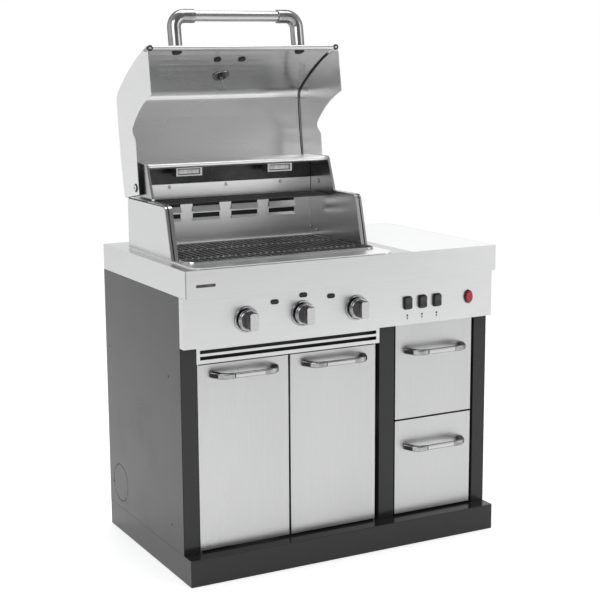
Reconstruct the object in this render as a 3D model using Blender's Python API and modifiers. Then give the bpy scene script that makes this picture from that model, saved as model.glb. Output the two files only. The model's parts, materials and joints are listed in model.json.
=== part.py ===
"""Built-in gas barbecue grill on an island cabinet: three burners, a hinged lid, doors, drawers and a shelf.

Metres, +Z up, +Y towards the back. The origin is on the floor, in the middle of the whole object's box.
"""

import math

import bmesh
import bpy
from mathutils import Matrix, Vector

# ---------------------------------------------------------------- overall sizes
WIDTH = 1.045
DEPTH = 0.643
COUNTER_HEIGHT = 0.915
PLINTH_HEIGHT = 0.080
PLINTH_LEDGE = 0.0505

# ---------------------------------------------------------------- sheet, gaps and fits
SHEET = 0.0015
THICK_SHEET = 0.003
GAP = 0.0003
DOOR_GAP = 0.0012
MOVING_GAP = 0.003
CUT_OVER = 0.01

# ---------------------------------------------------------------- cabinet
BOARD_LIP = 0.030
POST_WIDTH = 0.050
POST_DEPTH = 0.030
MIDDLE_POST_WIDTH = 0.0525
DRAWER_WIDTH = 0.279
DRAWER_SIDE_GAP = 0.0045
DARK_GAP = 0.0095
DOOR_THICKNESS = 0.018
DOOR_PIVOT_INSET = 0.0035
DOOR_BOTTOM_GAP = 0.006
DOORS_BETWEEN = 0.005
DOOR_SIDE_DARK_GAP = 0.013
LOUVRE_HEIGHT = 0.052
LOUVRE_SLOT_HEIGHT = 0.0105
LOUVRE_SLOT_MARGIN = 0.011
PIN_RADIUS = 0.0025
PIN_CLEARANCE = 0.0004
LOUVRE_DROPS = (0.0125, 0.0305)
LOUVRE_LIP = 0.018
RIGHT_POST_TRIM = 0.0044
DRAWER_BACK_SPACE = 0.0727
DRAWER_BOX_WALL = 0.0015
DRAWER_BOX_RISE = 0.025
DRAWER_BOX_DROP = 0.070
RUNNER_SPACE = 0.012
DOOR_PULL_DROP = 0.0305
DRAWER_PULL_DROP = 0.085
PIN_RUN = 0.02
VENT_HEIGHT = 0.012
VENT_WIDTH = 0.160
VENT_PITCH = 0.040
VENT_RISE = 0.120
VENT_SPREAD = 0.160

# ---------------------------------------------------------------- counter and control panel
COUNTER_FASCIA = 0.0795
COUNTER_OVERHANG = 0.0463
PANEL_HEIGHT = 0.145
PANEL_OVERHANG = 0.0274
SHELF_WIDTH = 0.3035
SHELF_THICKNESS = 0.022

# ---------------------------------------------------------------- firebox
FIREBOX_CENTRE = -0.163
FIREBOX_WIDTH = 0.651
FIREBOX_SIDE = 0.0205
FIREBOX_FRONT = 0.124
FIREBOX_BACK = 0.458
FIREBOX_WALL_HEIGHT = 0.158
FIREBOX_SLOPE = 0.041
RISER_HEIGHT = 0.265
RISER_FRONT = 0.338
RISER_SLOPE = 0.042
RIM_FRONT_SET = 0.008
RIM_CORNER = 0.035
TUB_FRONT = 0.052
TUB_BACK = 0.440
TUB_DEPTH = 0.170
GRATE_COUNT = 3
GRATE_THICKNESS = 0.014
GRATE_RIBS = 10
BURNER_RADIUS = 0.016
BURNER_DROP = 0.105
HEAT_PLATE_DROP = 0.070
HEAT_PLATE_FOLD = 0.022
HEAT_PLATE_HALF = 0.070
HEAT_PLATE_LIP = 0.005
DRIP_SLOT_HALF = 0.120
DRIP_SLOT_SPAN = (0.10, 0.38)
BACK_WALL_SET = 0.004
BACK_WALL_DROP = 0.030
SLOT_WIDTH = 0.092
SLOT_HEIGHT = 0.012
SLOT_PITCH = 0.133
SLOT_RISES = (0.081, 0.117)
HOOD_ROLL = 0.0075
HOOD_SHEET = 0.0012
HOOD_DROP = 0.060
LAMP_SIZE = (0.080, 0.040, 0.022)
LAMP_SPREAD = 0.155
LAMP_SET = 0.058
RACK_FRONT_SET = 0.012
RACK_BACK_SET = 0.010
RACK_DROP = 0.018
RACK_THICKNESS = 0.005
RACK_BAR = 0.008
RACK_SLOTS = 22
GRATE_GAP = 0.002
GRATE_SET = 0.004
GRATE_BAR = 0.008
BURNER_WALL = 0.0015

# ---------------------------------------------------------------- lid, in its closed place
LID_SIDE_SET = 0.008
LID_OPEN_ANGLE = math.radians(98.7)
HINGE_BACK = 0.407
HINGE_RISE = 0.189
LID_FRONT_BACK = 0.008
LID_BOTTOM_RISE = 0.0095
LID_TOP_RISE = 0.311
LID_BACK = 0.431
LID_HEM_RADIUS = 0.0065
LID_FRONT_BOW = 0.011
LID_FRONT_LEAN = 0.096
LID_BEND_DROP = 0.040
LID_REAR_DROP = 0.0205
LID_REAR_LIP = 0.0105
LID_SLOT = 0.004
LID_BEND_RADIUS = 0.042
LID_TOP_LEAN = 92
LID_ROOF_BOW = 0.006
LID_TOE = 0.026
LID_NOTCH = (
    (-0.006, -0.112),
    (0.007, -0.072),
    (0.023, -0.038),
    (0.040, -0.010),
    (0.055, 0.011),
    (0.066, 0.023),
    (0.076, 0.024),
    (0.086, 0.017),
    (0.099, 0.005),
    (0.112, 0.003),
)
NOTCH_POINTS_IN_WALL = 5
THERMOMETER_RISE = 0.205
THERMOMETER_RADIUS = 0.036
THERMOMETER_DEPTH = 0.012
THERMOMETER_NECK = 0.006
PROBE_RADIUS = 0.0025
PROBE_REACH = 0.055
HANDLE_SPAN = 0.410
HANDLE_REACH = 0.107
HANDLE_RISE = 0.065
HANDLE_BAR_RADIUS = 0.0165
HANDLE_LEG_RADIUS = 0.021
HANDLE_BEND = 0.034
HANDLE_SHANK = 0.066

# ---------------------------------------------------------------- controls
KNOB_SPACING = 0.181
KNOB_CENTRE_X = -0.146
KNOB_DROP = 0.155
KNOB_RADIUS = 0.031
KNOB_STANDOFF = 0.006
KNOB_SKIRT = 0.010
KNOB_REACH = 0.053
KNOB_GRIP_SIZE = (0.028, 0.050)
KNOB_BORE = 0.0045
STEM_RADIUS = 0.004
STEM_REACH = 0.014
SWITCH_X = 0.265
SWITCH_SPACING = 0.0525
SWITCH_SIZE = (0.023, 0.035)
SWITCH_PROUD = 0.012
IGNITER_X = 0.434
IGNITER_SIZE = (0.024, 0.036)
IGNITER_PROUD = 0.010
BUTTON_CLEARANCE = 0.0006
BUTTON_DEPTH = 0.014
CONTROL_DROP = 0.157
PULL_WIDTH = 0.222
PULL_REACH = 0.048
PULL_BAR = 0.017
PULL_LEAN = 0.020
PULL_THICKNESS = 0.014
PULL_BEND = 0.016
RAIL_RADIUS = 0.009
RAIL_SET = 0.012
RAIL_DROP = 0.020
RAIL_ENDS = (0.050, 0.075)
VALVE_HALF = 0.014
VALVE_REACH = (0.018, 0.010)
VALVE_RISE = (0.026, 0.014)
INLET_RADIUS = 0.008
INLET_SET = 0.006
INLET_DROP = 0.045
TRAY_HALF = 0.150
TRAY_FRONT = 0.080
TRAY_HEIGHT = 0.030
TRAY_CLEARANCE = 0.006

# ---------------------------------------------------------------- derived places
KNOB_PROUD = KNOB_REACH + PANEL_OVERHANG - PLINTH_LEDGE
FRONT_Y = (KNOB_PROUD - DEPTH) / 2
BACK_Y = FRONT_Y + DEPTH
DOOR_Y = FRONT_Y + PLINTH_LEDGE
HALF_WIDTH = WIDTH / 2
FASCIA_BOTTOM = COUNTER_HEIGHT - COUNTER_FASCIA
PANEL_BOTTOM = FASCIA_BOTTOM - PANEL_HEIGHT
CABINET_TOP = FASCIA_BOTTOM - GAP
CABINET_BOTTOM = PLINTH_HEIGHT + GAP
PANEL_Y = DOOR_Y - PANEL_OVERHANG
COUNTER_Y = DOOR_Y - COUNTER_OVERHANG

LEFT_POST_X = (-HALF_WIDTH + SHEET + GAP, -HALF_WIDTH + POST_WIDTH + DOOR_GAP / 2)
RIGHT_POST_X = (HALF_WIDTH - POST_WIDTH + RIGHT_POST_TRIM, HALF_WIDTH - SHEET - GAP)
DRAWER_X = (RIGHT_POST_X[0] - DARK_GAP - DRAWER_WIDTH, RIGHT_POST_X[0] - DARK_GAP)
MIDDLE_POST_X = (DRAWER_X[0] - DRAWER_SIDE_GAP - MIDDLE_POST_WIDTH, DRAWER_X[0] - DRAWER_SIDE_GAP)
DOORS_X = (LEFT_POST_X[1] + DOOR_GAP, MIDDLE_POST_X[0] - DOOR_SIDE_DARK_GAP)
DOOR_BOTTOM = PLINTH_HEIGHT + DOOR_BOTTOM_GAP
LOUVRE_TOP = PANEL_BOTTOM - GAP
LOUVRE_BOTTOM = LOUVRE_TOP - LOUVRE_HEIGHT
DOOR_TOP = LOUVRE_BOTTOM - MOVING_GAP

OUTER_LEFT = FIREBOX_CENTRE - FIREBOX_WIDTH / 2
OUTER_RIGHT = FIREBOX_CENTRE + FIREBOX_WIDTH / 2
INNER_LEFT = OUTER_LEFT + FIREBOX_SIDE
INNER_RIGHT = OUTER_RIGHT - FIREBOX_SIDE
RIM_TOP = COUNTER_HEIGHT + GAP + THICK_SHEET
WALL_BOTTOM = RIM_TOP + GAP
WALL_TOP = COUNTER_HEIGHT + FIREBOX_WALL_HEIGHT
RISER_TOP = COUNTER_HEIGHT + RISER_HEIGHT
HINGE_Y = DOOR_Y + HINGE_BACK
HINGE_Z = COUNTER_HEIGHT + HINGE_RISE
LID_LEFT = OUTER_LEFT + LID_SIDE_SET
LID_RIGHT = OUTER_RIGHT - LID_SIDE_SET
LID_BOTTOM = COUNTER_HEIGHT + LID_BOTTOM_RISE
LID_TOP = COUNTER_HEIGHT + LID_TOP_RISE

model = None
cutters = None


# ---------------------------------------------------------------- scene and materials
def clear_scene():
    for thing in list(bpy.data.objects):
        bpy.data.objects.remove(thing, do_unlink=True)


def new_collection(name):
    group = bpy.data.collections.new(name)
    bpy.context.scene.collection.children.link(group)
    return group


def finish(name, colour, metallic, roughness):
    material = bpy.data.materials.new(name)
    material.use_nodes = True
    shader = material.node_tree.nodes["Principled BSDF"]
    shader.inputs["Base Color"].default_value = (*colour, 1.0)
    shader.inputs["Metallic"].default_value = metallic
    shader.inputs["Roughness"].default_value = roughness
    return material


def make_finishes():
    return {
        "stainless": finish("brushed_stainless", (0.62, 0.62, 0.61), 1.0, 0.32),
        "chrome": finish("polished_chrome", (0.75, 0.75, 0.76), 1.0, 0.08),
        "paint": finish("graphite_paint", (0.07, 0.07, 0.075), 0.0, 0.25),
        "iron": finish("enamelled_cast_iron", (0.03, 0.03, 0.03), 0.0, 0.5),
        "steel": finish("aluminised_steel", (0.45, 0.45, 0.45), 1.0, 0.45),
        "black": finish("black_plastic", (0.02, 0.02, 0.02), 0.0, 0.35),
        "red": finish("red_plastic", (0.55, 0.02, 0.02), 0.0, 0.25),
        "lens": finish("lamp_glass", (0.8, 0.8, 0.75), 0.0, 0.1),
    }


# ---------------------------------------------------------------- shape tools
def place(thing, name, material, group=None):
    for old in list(thing.users_collection):
        old.objects.unlink(thing)
    (group or model).objects.link(thing)
    thing.name = name
    thing.data.name = name
    thing.data.materials.clear()
    if material:
        thing.data.materials.append(material)
    return thing


def box(name, low, high, material, group=None):
    low = Vector(low)
    high = Vector(high)
    bpy.ops.mesh.primitive_cube_add(size=1, location=(low + high) / 2)
    thing = bpy.context.object
    thing.scale = high - low
    bpy.ops.object.transform_apply(location=False, rotation=False, scale=True)
    return place(thing, name, material, group)


def cylinder(name, start, end, radius, material, sides=24, group=None):
    start = Vector(start)
    end = Vector(end)
    bpy.ops.mesh.primitive_cylinder_add(vertices=sides, radius=radius, depth=(end - start).length)
    thing = bpy.context.object
    thing.location = (start + end) / 2
    thing.rotation_euler = (end - start).to_track_quat("Z", "Y").to_euler()
    return place(thing, name, material, group)


def as_mesh(curve_object, name, material, group=None):
    bpy.context.view_layer.update()
    evaluated = curve_object.evaluated_get(bpy.context.evaluated_depsgraph_get())
    mesh = bpy.data.meshes.new_from_object(evaluated)
    shape = bmesh.new()
    shape.from_mesh(mesh)
    bmesh.ops.remove_doubles(shape, verts=shape.verts, dist=0.00001)
    bmesh.ops.recalc_face_normals(shape, faces=shape.faces)
    shape.to_mesh(mesh)
    shape.free()
    thing = bpy.data.objects.new(name, mesh)
    bpy.context.scene.collection.objects.link(thing)
    thing.matrix_world = curve_object.matrix_world.copy()
    bpy.data.objects.remove(curve_object, do_unlink=True)
    return place(thing, name, material, group)


PLANES = {
    "YZ": (math.radians(90), 0, math.radians(90)),
    "XZ": (math.radians(90), 0, 0),
    "XY": (0, 0, 0),
}


def plane_origin(plane, offset):
    return {"YZ": (offset, 0, 0), "XZ": (0, offset, 0), "XY": (0, 0, offset)}[plane]


def spline_object(points, plane, middle, closed):
    data = bpy.data.curves.new("outline", "CURVE")
    data.dimensions = "2D"
    spline = data.splines.new("POLY")
    spline.points.add(len(points) - 1)
    for place_in, point in zip(spline.points, points):
        place_in.co = (point[0], point[1], 0, 1)
    spline.use_cyclic_u = closed
    thing = bpy.data.objects.new("outline", data)
    bpy.context.scene.collection.objects.link(thing)
    thing.location = plane_origin(plane, middle)
    thing.rotation_euler = PLANES[plane]
    return thing


def plate(name, points, plane, span, material, group=None):
    """A flat outline given thickness across the plane, from span[0] to span[1]."""
    thing = spline_object(points, plane, (span[0] + span[1]) / 2, True)
    thing.data.fill_mode = "BOTH"
    thing.data.extrude = (span[1] - span[0]) / 2
    return as_mesh(thing, name, material, group)


def folded_sheet(name, points, plane, span, material, thickness=SHEET):
    """An open line drawn across a plane, swept from span[0] to span[1] and given the sheet's thickness."""
    thing = spline_object(points, plane, (span[0] + span[1]) / 2, False)
    thing.data.fill_mode = "NONE"
    thing.data.extrude = (span[1] - span[0]) / 2
    sheet = as_mesh(thing, name, material)
    solid = sheet.modifiers.new("thickness", "SOLIDIFY")
    solid.thickness = thickness
    solid.offset = 0
    solid.use_even_offset = True
    return sheet


def arc(centre, radius, start, end, steps):
    """Points on an arc, with angles in degrees."""
    turns = [math.radians(start + (end - start) * i / steps) for i in range(steps + 1)]
    return [(centre[0] + radius * math.cos(a), centre[1] + radius * math.sin(a)) for a in turns]


def rounded(points, radii, steps=5):
    """A closed outline whose corners are rounded, each to its own radius."""
    result = []
    count = len(points)
    for i, point in enumerate(points):
        radius = radii[i]
        corner = Vector(point)
        if radius == 0:
            result.append(tuple(corner))
            continue
        before = (Vector(points[i - 1]) - corner).normalized()
        after = (Vector(points[(i + 1) % count]) - corner).normalized()
        half = before.angle(after) / 2
        centre = corner + (before + after).normalized() * radius / math.sin(half)
        start = corner + before * radius / math.tan(half) - centre
        sweep = start.angle_signed(corner + after * radius / math.tan(half) - centre)
        for step in range(steps + 1):
            turn = Matrix.Rotation(-sweep * step / steps, 2)
            result.append(tuple(centre + turn @ start))
    return result


def rectangle(low, high):
    return [(low[0], low[1]), (high[0], low[1]), (high[0], high[1]), (low[0], high[1])]


def boolean(target, tool, operation):
    tool.hide_render = True
    tool.display_type = "WIRE"
    modifier = target.modifiers.new(operation.lower(), "BOOLEAN")
    modifier.operation = operation
    modifier.object = tool
    modifier.solver = "EXACT"


def cut(target, *tools):
    for tool in tools:
        boolean(target, tool, "DIFFERENCE")
    return target


def join(target, *tools):
    for tool in tools:
        boolean(target, tool, "UNION")
    return target


def cut_box(low, high):
    return box("cutter", low, high, None, cutters)


def cut_bar(start, end, radius, sides=24):
    return cylinder("cutter", start, end, radius, None, sides, cutters)


def soften(thing, width, segments=2, angle=40):
    bevel = thing.modifiers.new("rounded_edges", "BEVEL")
    bevel.width = width
    bevel.segments = segments
    bevel.limit_method = "ANGLE"
    bevel.angle_limit = math.radians(angle)
    return thing


def tube(name, points, radius, material, smoothness=3):
    data = bpy.data.curves.new(name, "CURVE")
    data.dimensions = "3D"
    spline = data.splines.new("POLY")
    spline.points.add(len(points) - 1)
    for place_in, point in zip(spline.points, points):
        place_in.co = (*point, 1)
    data.bevel_depth = radius
    data.bevel_resolution = smoothness
    data.use_fill_caps = True
    thing = bpy.data.objects.new(name, data)
    bpy.context.scene.collection.objects.link(thing)
    return as_mesh(thing, name, material)


def turned(name, profile, base, towards, material, steps=32, group=None):
    """A profile of (radius, height) points, from the top down, turned about an axis that starts at base."""
    mesh = bpy.data.meshes.new(name)
    thing = bpy.data.objects.new(name, mesh)
    bpy.context.scene.collection.objects.link(thing)
    shape = bmesh.new()
    points = [shape.verts.new((radius, 0, height)) for radius, height in profile]
    for first, second in zip(points, points[1:]):
        shape.edges.new((first, second))
    shape.to_mesh(mesh)
    shape.free()
    screw = thing.modifiers.new("turn", "SCREW")
    screw.steps = steps
    screw.render_steps = steps
    screw.use_merge_vertices = True
    screw.merge_threshold = 0.00005
    thing.location = base
    thing.rotation_euler = Vector(towards).to_track_quat("Z", "Y").to_euler()
    return place(thing, name, material, group)


def pivot(name, location, members, turn=(0, 0, 0)):
    """An empty on a joint's axis, which carries the pieces that move with it, and their cutters."""
    carrier = bpy.data.objects.new(name, None)
    model.objects.link(carrier)
    carrier.location = location
    rest = Matrix.Translation(location)
    tools = [m.object for piece in members for m in piece.modifiers if m.type == "BOOLEAN"]
    for member in members + tools:
        member.parent = carrier
        member.matrix_parent_inverse = rest.inverted()
    carrier.rotation_euler = turn
    return carrier


# ---------------------------------------------------------------- cabinet
def make_plinth(finishes):
    paint = finishes["paint"]
    top = PLINTH_HEIGHT - SHEET - GAP
    half = SHEET / 2

    def angle_line(outside, inwards):
        wall = outside + inwards * half
        return [(wall, top), (wall, half), (outside + inwards * BOARD_LIP, half)]

    folded_sheet("plinth_front", angle_line(FRONT_Y, 1), "YZ", (-HALF_WIDTH, HALF_WIDTH), paint)
    folded_sheet("plinth_rear", angle_line(BACK_Y, -1), "YZ", (-HALF_WIDTH, HALF_WIDTH), paint)
    between = (FRONT_Y + BOARD_LIP + GAP, BACK_Y - BOARD_LIP - GAP)
    for side, inwards in (("left", 1), ("right", -1)):
        # the wall runs on past the lips of the front and rear boards
        outside = -inwards * HALF_WIDTH
        board = folded_sheet(f"plinth_{side}", angle_line(outside, inwards), "XZ", between, paint)
        inside = outside + inwards * SHEET
        wall = box(
            "wall_run",
            (min(outside, inside), FRONT_Y + SHEET + GAP, SHEET + GAP),
            (max(outside, inside), BACK_Y - SHEET - GAP, top),
            None,
            cutters,
        )
        join(board, wall)
    floor = box(
        "cabinet_floor",
        (-HALF_WIDTH, FRONT_Y, PLINTH_HEIGHT - SHEET),
        (HALF_WIDTH, BACK_Y, PLINTH_HEIGHT),
        paint,
    )
    for pin_x in door_pivots_x():
        centre = (pin_x, DOOR_Y + DOOR_PIVOT_INSET)
        low = (*centre, PLINTH_HEIGHT - CUT_OVER)
        high = (*centre, PLINTH_HEIGHT + CUT_OVER)
        cut(floor, cut_bar(low, high, PIN_RADIUS + PIN_CLEARANCE))


def door_pivots_x():
    return (DOORS_X[0] + DOOR_PIVOT_INSET, DOORS_X[1] - DOOR_PIVOT_INSET)


def make_posts(finishes):
    paint = finishes["paint"]
    half = SHEET / 2
    top = PANEL_BOTTOM - GAP
    for name, (low, high) in (("left_post", LEFT_POST_X), ("right_post", RIGHT_POST_X)):
        line = [
            (low + half, DOOR_Y + POST_DEPTH),
            (low + half, DOOR_Y + half),
            (high - half, DOOR_Y + half),
            (high - half, DOOR_Y + POST_DEPTH),
        ]
        folded_sheet(name, line, "XY", (CABINET_BOTTOM, top), paint)
    low, high = MIDDLE_POST_X
    line = [
        (low + half, DOOR_Y + POST_DEPTH),
        (low + half, DOOR_Y + half),
        (high - half, DOOR_Y + half),
        (high - half, BACK_Y - SHEET - GAP),
    ]
    folded_sheet("bay_divider", line, "XY", (CABINET_BOTTOM, top), paint)


def make_cabinet_panels(finishes):
    paint = finishes["paint"]
    for name, low, high in (
        ("left_side_panel", -HALF_WIDTH, -HALF_WIDTH + SHEET),
        ("right_side_panel", HALF_WIDTH - SHEET, HALF_WIDTH),
    ):
        box(name, (low, DOOR_Y, CABINET_BOTTOM), (high, BACK_Y, CABINET_TOP), paint)
    rear = box(
        "rear_panel",
        (-HALF_WIDTH + SHEET + GAP, BACK_Y - SHEET, CABINET_BOTTOM),
        (HALF_WIDTH - SHEET - GAP, BACK_Y, CABINET_TOP),
        finishes["steel"],
    )
    low, high = tray_box()
    room = MOVING_GAP
    hole = cut_box(
        (low[0] - room, BACK_Y - CUT_OVER, low[2] - room),
        (high[0] + room, BACK_Y + CUT_OVER, high[2] + room),
    )
    cut(rear, hole)
    for side in (-1, 1):
        centre = FIREBOX_CENTRE + side * VENT_SPREAD
        for step in range(3):
            height = CABINET_BOTTOM + VENT_RISE + step * VENT_PITCH
            vent = cut_box(
                (centre - VENT_WIDTH / 2, BACK_Y - CUT_OVER, height),
                (centre + VENT_WIDTH / 2, BACK_Y + CUT_OVER, height + VENT_HEIGHT),
            )
            cut(rear, vent)


def make_louvre_panel(finishes):
    half = SHEET / 2
    line = [
        (DOOR_Y + LOUVRE_LIP, LOUVRE_TOP - half),
        (DOOR_Y + half, LOUVRE_TOP - half),
        (DOOR_Y + half, LOUVRE_BOTTOM + half),
        (DOOR_Y + LOUVRE_LIP, LOUVRE_BOTTOM + half),
    ]
    span = (LEFT_POST_X[1] + GAP, MIDDLE_POST_X[0] - GAP)
    panel = folded_sheet("louvre_panel", line, "YZ", span, finishes["stainless"])
    slots = (span[0] + LOUVRE_SLOT_MARGIN, span[1] - LOUVRE_SLOT_MARGIN)
    for drop in LOUVRE_DROPS:
        top = LOUVRE_TOP - drop
        low = (slots[0], DOOR_Y - CUT_OVER, top - LOUVRE_SLOT_HEIGHT)
        high = (slots[1], DOOR_Y + CUT_OVER, top)
        cut(panel, cut_box(low, high))
    for pin_x in door_pivots_x():
        centre = (pin_x, DOOR_Y + DOOR_PIVOT_INSET)
        # each door's upper pin turns in the panel's lower lip
        low = (*centre, LOUVRE_BOTTOM - CUT_OVER)
        high = (*centre, LOUVRE_BOTTOM + CUT_OVER)
        cut(panel, cut_bar(low, high, PIN_RADIUS + PIN_CLEARANCE))


def make_door(side, span, pivot_x, finishes):
    stainless = finishes["stainless"]
    corner = [DOOR_PIVOT_INSET, DOOR_PIVOT_INSET, 0, 0]
    outline = rounded(rectangle((span[0], DOOR_Y), (span[1], DOOR_Y + DOOR_THICKNESS)), corner)
    door = plate(f"door_{side}", outline, "XY", (DOOR_BOTTOM, DOOR_TOP), stainless)
    hollow = cut_box(
        (span[0] + 2 * DOOR_PIVOT_INSET + SHEET, DOOR_Y + SHEET, DOOR_BOTTOM + SHEET),
        (span[1] - 2 * DOOR_PIVOT_INSET - SHEET, DOOR_Y + DOOR_THICKNESS + CUT_OVER, DOOR_TOP - SHEET),
    )
    cut(door, hollow)
    centre = (pivot_x, DOOR_Y + DOOR_PIVOT_INSET)
    reach = PLINTH_HEIGHT - SHEET
    lower = cut_bar((*centre, reach), (*centre, DOOR_BOTTOM + PIN_RUN), PIN_RADIUS, 16)
    upper = cut_bar((*centre, DOOR_TOP - PIN_RUN), (*centre, LOUVRE_BOTTOM + SHEET), PIN_RADIUS, 16)
    join(door, lower, upper)
    middle = (span[0] + span[1]) / 2
    pull = make_pull(f"door_pull_{side}", middle, DOOR_TOP - DOOR_PULL_DROP, finishes)
    pivot(f"{side}_door_hinge", (*centre, 0), [door, pull])


def make_pull(name, x, z, finishes):
    """A bar pull: a flat-oval bar with two legs that lean inwards from the face."""
    half = PULL_WIDTH / 2
    lean = PULL_LEAN
    depth = PULL_REACH
    bar = PULL_THICKNESS
    bend = PULL_BEND
    face = DOOR_Y - GAP
    outer = rounded(
        [
            (x - half, face),
            (x - half + lean, face - depth),
            (x + half - lean, face - depth),
            (x + half, face),
        ],
        [0, bend, bend, 0],
    )
    inner = rounded(
        [
            (x + half - 1.6 * bar, face),
            (x + half - lean - 1.4 * bar, face - depth + bar),
            (x - half + lean + 1.4 * bar, face - depth + bar),
            (x - half + 1.6 * bar, face),
        ],
        [0, bend / 2, bend / 2, 0],
    )
    pull = plate(name, outer + inner, "XY", (z - PULL_BAR / 2, z + PULL_BAR / 2), finishes["stainless"])
    return soften(pull, 0.003, 2)


def make_doors(finishes):
    left_x, right_x = door_pivots_x()
    middle = (DOORS_X[0] + DOORS_X[1]) / 2
    make_door("left", (DOORS_X[0], middle - DOORS_BETWEEN / 2), left_x, finishes)
    make_door("right", (middle + DOORS_BETWEEN / 2, DOORS_X[1]), right_x, finishes)


def drawer_heights():
    low = PLINTH_HEIGHT + DOOR_BOTTOM_GAP
    high = PANEL_BOTTOM - MOVING_GAP
    middle = (low + high) / 2
    return {
        "lower": (low, middle - DOORS_BETWEEN / 2),
        "upper": (middle + DOORS_BETWEEN / 2, high),
    }


def make_drawers(finishes):
    for level, (low, high) in drawer_heights().items():
        outline = rectangle((DRAWER_X[0], DOOR_Y), (DRAWER_X[1], DOOR_Y + DOOR_THICKNESS))
        front = plate(f"drawer_front_{level}", outline, "XY", (low, high), finishes["stainless"])
        hollow = cut_box(
            (DRAWER_X[0] + SHEET, DOOR_Y + SHEET, low + SHEET),
            (DRAWER_X[1] - SHEET, DOOR_Y + DOOR_THICKNESS + CUT_OVER, high - SHEET),
        )
        cut(front, hollow)
        box_x = (DRAWER_X[0] + RUNNER_SPACE, DRAWER_X[1] - RUNNER_SPACE)
        box_y = (DOOR_Y + DOOR_THICKNESS + GAP, BACK_Y - SHEET - DRAWER_BACK_SPACE)
        box_z = (low + DRAWER_BOX_RISE, high - DRAWER_BOX_DROP)
        low_corner = (box_x[0], box_y[0], box_z[0])
        high_corner = (box_x[1], box_y[1], box_z[1])
        tray = box(f"drawer_box_{level}", low_corner, high_corner, finishes["steel"])
        wall = DRAWER_BOX_WALL
        inside = cut_box(
            (box_x[0] + wall, box_y[0] + wall, box_z[0] + wall),
            (box_x[1] - wall, box_y[1] - wall, box_z[1] + wall),
        )
        cut(tray, inside)
        middle = (DRAWER_X[0] + DRAWER_X[1]) / 2
        pull = make_pull(f"drawer_pull_{level}", middle, high - DRAWER_PULL_DROP, finishes)
        pivot(f"{level}_drawer_slide", (middle, DOOR_Y, (low + high) / 2), [front, tray, pull])


# ---------------------------------------------------------------- counter and control panel
def tub_outline():
    """The firebox tub's inside and outside, across the counter."""
    inside = ((INNER_LEFT + SHEET + GAP, DOOR_Y + TUB_FRONT), (INNER_RIGHT - SHEET - GAP, DOOR_Y + TUB_BACK))
    outside = ((inside[0][0] - SHEET, inside[0][1] - SHEET), (inside[1][0] + SHEET, inside[1][1] + SHEET))
    return inside, outside


def make_counter(finishes):
    stainless = finishes["stainless"]
    back = BACK_Y
    low = (-HALF_WIDTH, COUNTER_Y, FASCIA_BOTTOM)
    top = box("countertop", low, (HALF_WIDTH, back, COUNTER_HEIGHT), stainless)
    hollow = cut_box(
        (-HALF_WIDTH + SHEET, COUNTER_Y + SHEET, FASCIA_BOTTOM - CUT_OVER),
        (HALF_WIDTH - SHEET, back - SHEET, COUNTER_HEIGHT - SHEET),
    )
    shelf_x = (HALF_WIDTH - SHELF_WIDTH, HALF_WIDTH - SHEET)
    shelf_hole = cut_box(
        (shelf_x[0], COUNTER_Y + SHEET, COUNTER_HEIGHT - CUT_OVER),
        (shelf_x[1], back - SHEET, COUNTER_HEIGHT + CUT_OVER),
    )
    outside = tub_outline()[1]
    firebox_hole = cut_box(
        (outside[0][0] - GAP, outside[0][1] - GAP, COUNTER_HEIGHT - CUT_OVER),
        (outside[1][0] + GAP, outside[1][1] + GAP, COUNTER_HEIGHT + CUT_OVER),
    )
    cut(top, hollow, shelf_hole, firebox_hole)
    shelf = box(
        "side_shelf",
        (shelf_x[0] + GAP, COUNTER_Y + SHEET + GAP, COUNTER_HEIGHT - SHELF_THICKNESS),
        (shelf_x[1] - GAP, back - SHEET - GAP, COUNTER_HEIGHT),
        stainless,
    )
    under = COUNTER_HEIGHT - SHELF_THICKNESS - CUT_OVER
    shelf_hollow = cut_box(
        (shelf_x[0] + GAP + SHEET, COUNTER_Y + 2 * SHEET + GAP, under),
        (shelf_x[1] - GAP - SHEET, back - 2 * SHEET - GAP, COUNTER_HEIGHT - SHEET),
    )
    cut(shelf, shelf_hollow)


def knob_centres():
    height = COUNTER_HEIGHT - KNOB_DROP
    return [(KNOB_CENTRE_X + (i - 1) * KNOB_SPACING, height) for i in range(3)]


def switch_centres():
    height = COUNTER_HEIGHT - CONTROL_DROP
    return [(SWITCH_X + (i - 1) * SWITCH_SPACING, height) for i in range(3)]


def make_control_panel(finishes):
    half = SHEET / 2
    back = DOOR_Y - GAP
    line = [
        (-HALF_WIDTH + half, back),
        (-HALF_WIDTH + half, PANEL_Y + half),
        (HALF_WIDTH - half, PANEL_Y + half),
        (HALF_WIDTH - half, back),
    ]
    span = (PANEL_BOTTOM, FASCIA_BOTTOM - GAP)
    panel = folded_sheet("control_panel", line, "XY", span, finishes["stainless"])

    def hole(x, z, radius):
        cut(panel, cut_bar((x, PANEL_Y - CUT_OVER, z), (x, PANEL_Y + CUT_OVER, z), radius))

    for x, z in knob_centres():
        hole(x, z, 2 * STEM_RADIUS)
    for number, (x, z) in enumerate(switch_centres(), 1):
        cut(panel, button_body("cutter", x, z, SWITCH_SIZE, BUTTON_CLEARANCE, None, cutters))
    igniter_z = COUNTER_HEIGHT - CONTROL_DROP
    cut(panel, button_body("cutter", IGNITER_X, igniter_z, IGNITER_SIZE, BUTTON_CLEARANCE, None, cutters))


def button_outline(x, z, size, growth=0.0):
    """A button's face: a rounded rectangle, or an oval where the corners meet."""
    width = size[0] / 2 + growth
    height = size[1] / 2 + growth
    if size == IGNITER_SIZE:
        turns = [math.radians(15 * i) for i in range(24)]
        return [(x + width * math.cos(a), z + height * math.sin(a)) for a in turns]
    corners = rectangle((x - width, z - height), (x + width, z + height))
    return rounded(corners, [0.005 + growth] * 4, 3)


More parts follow.
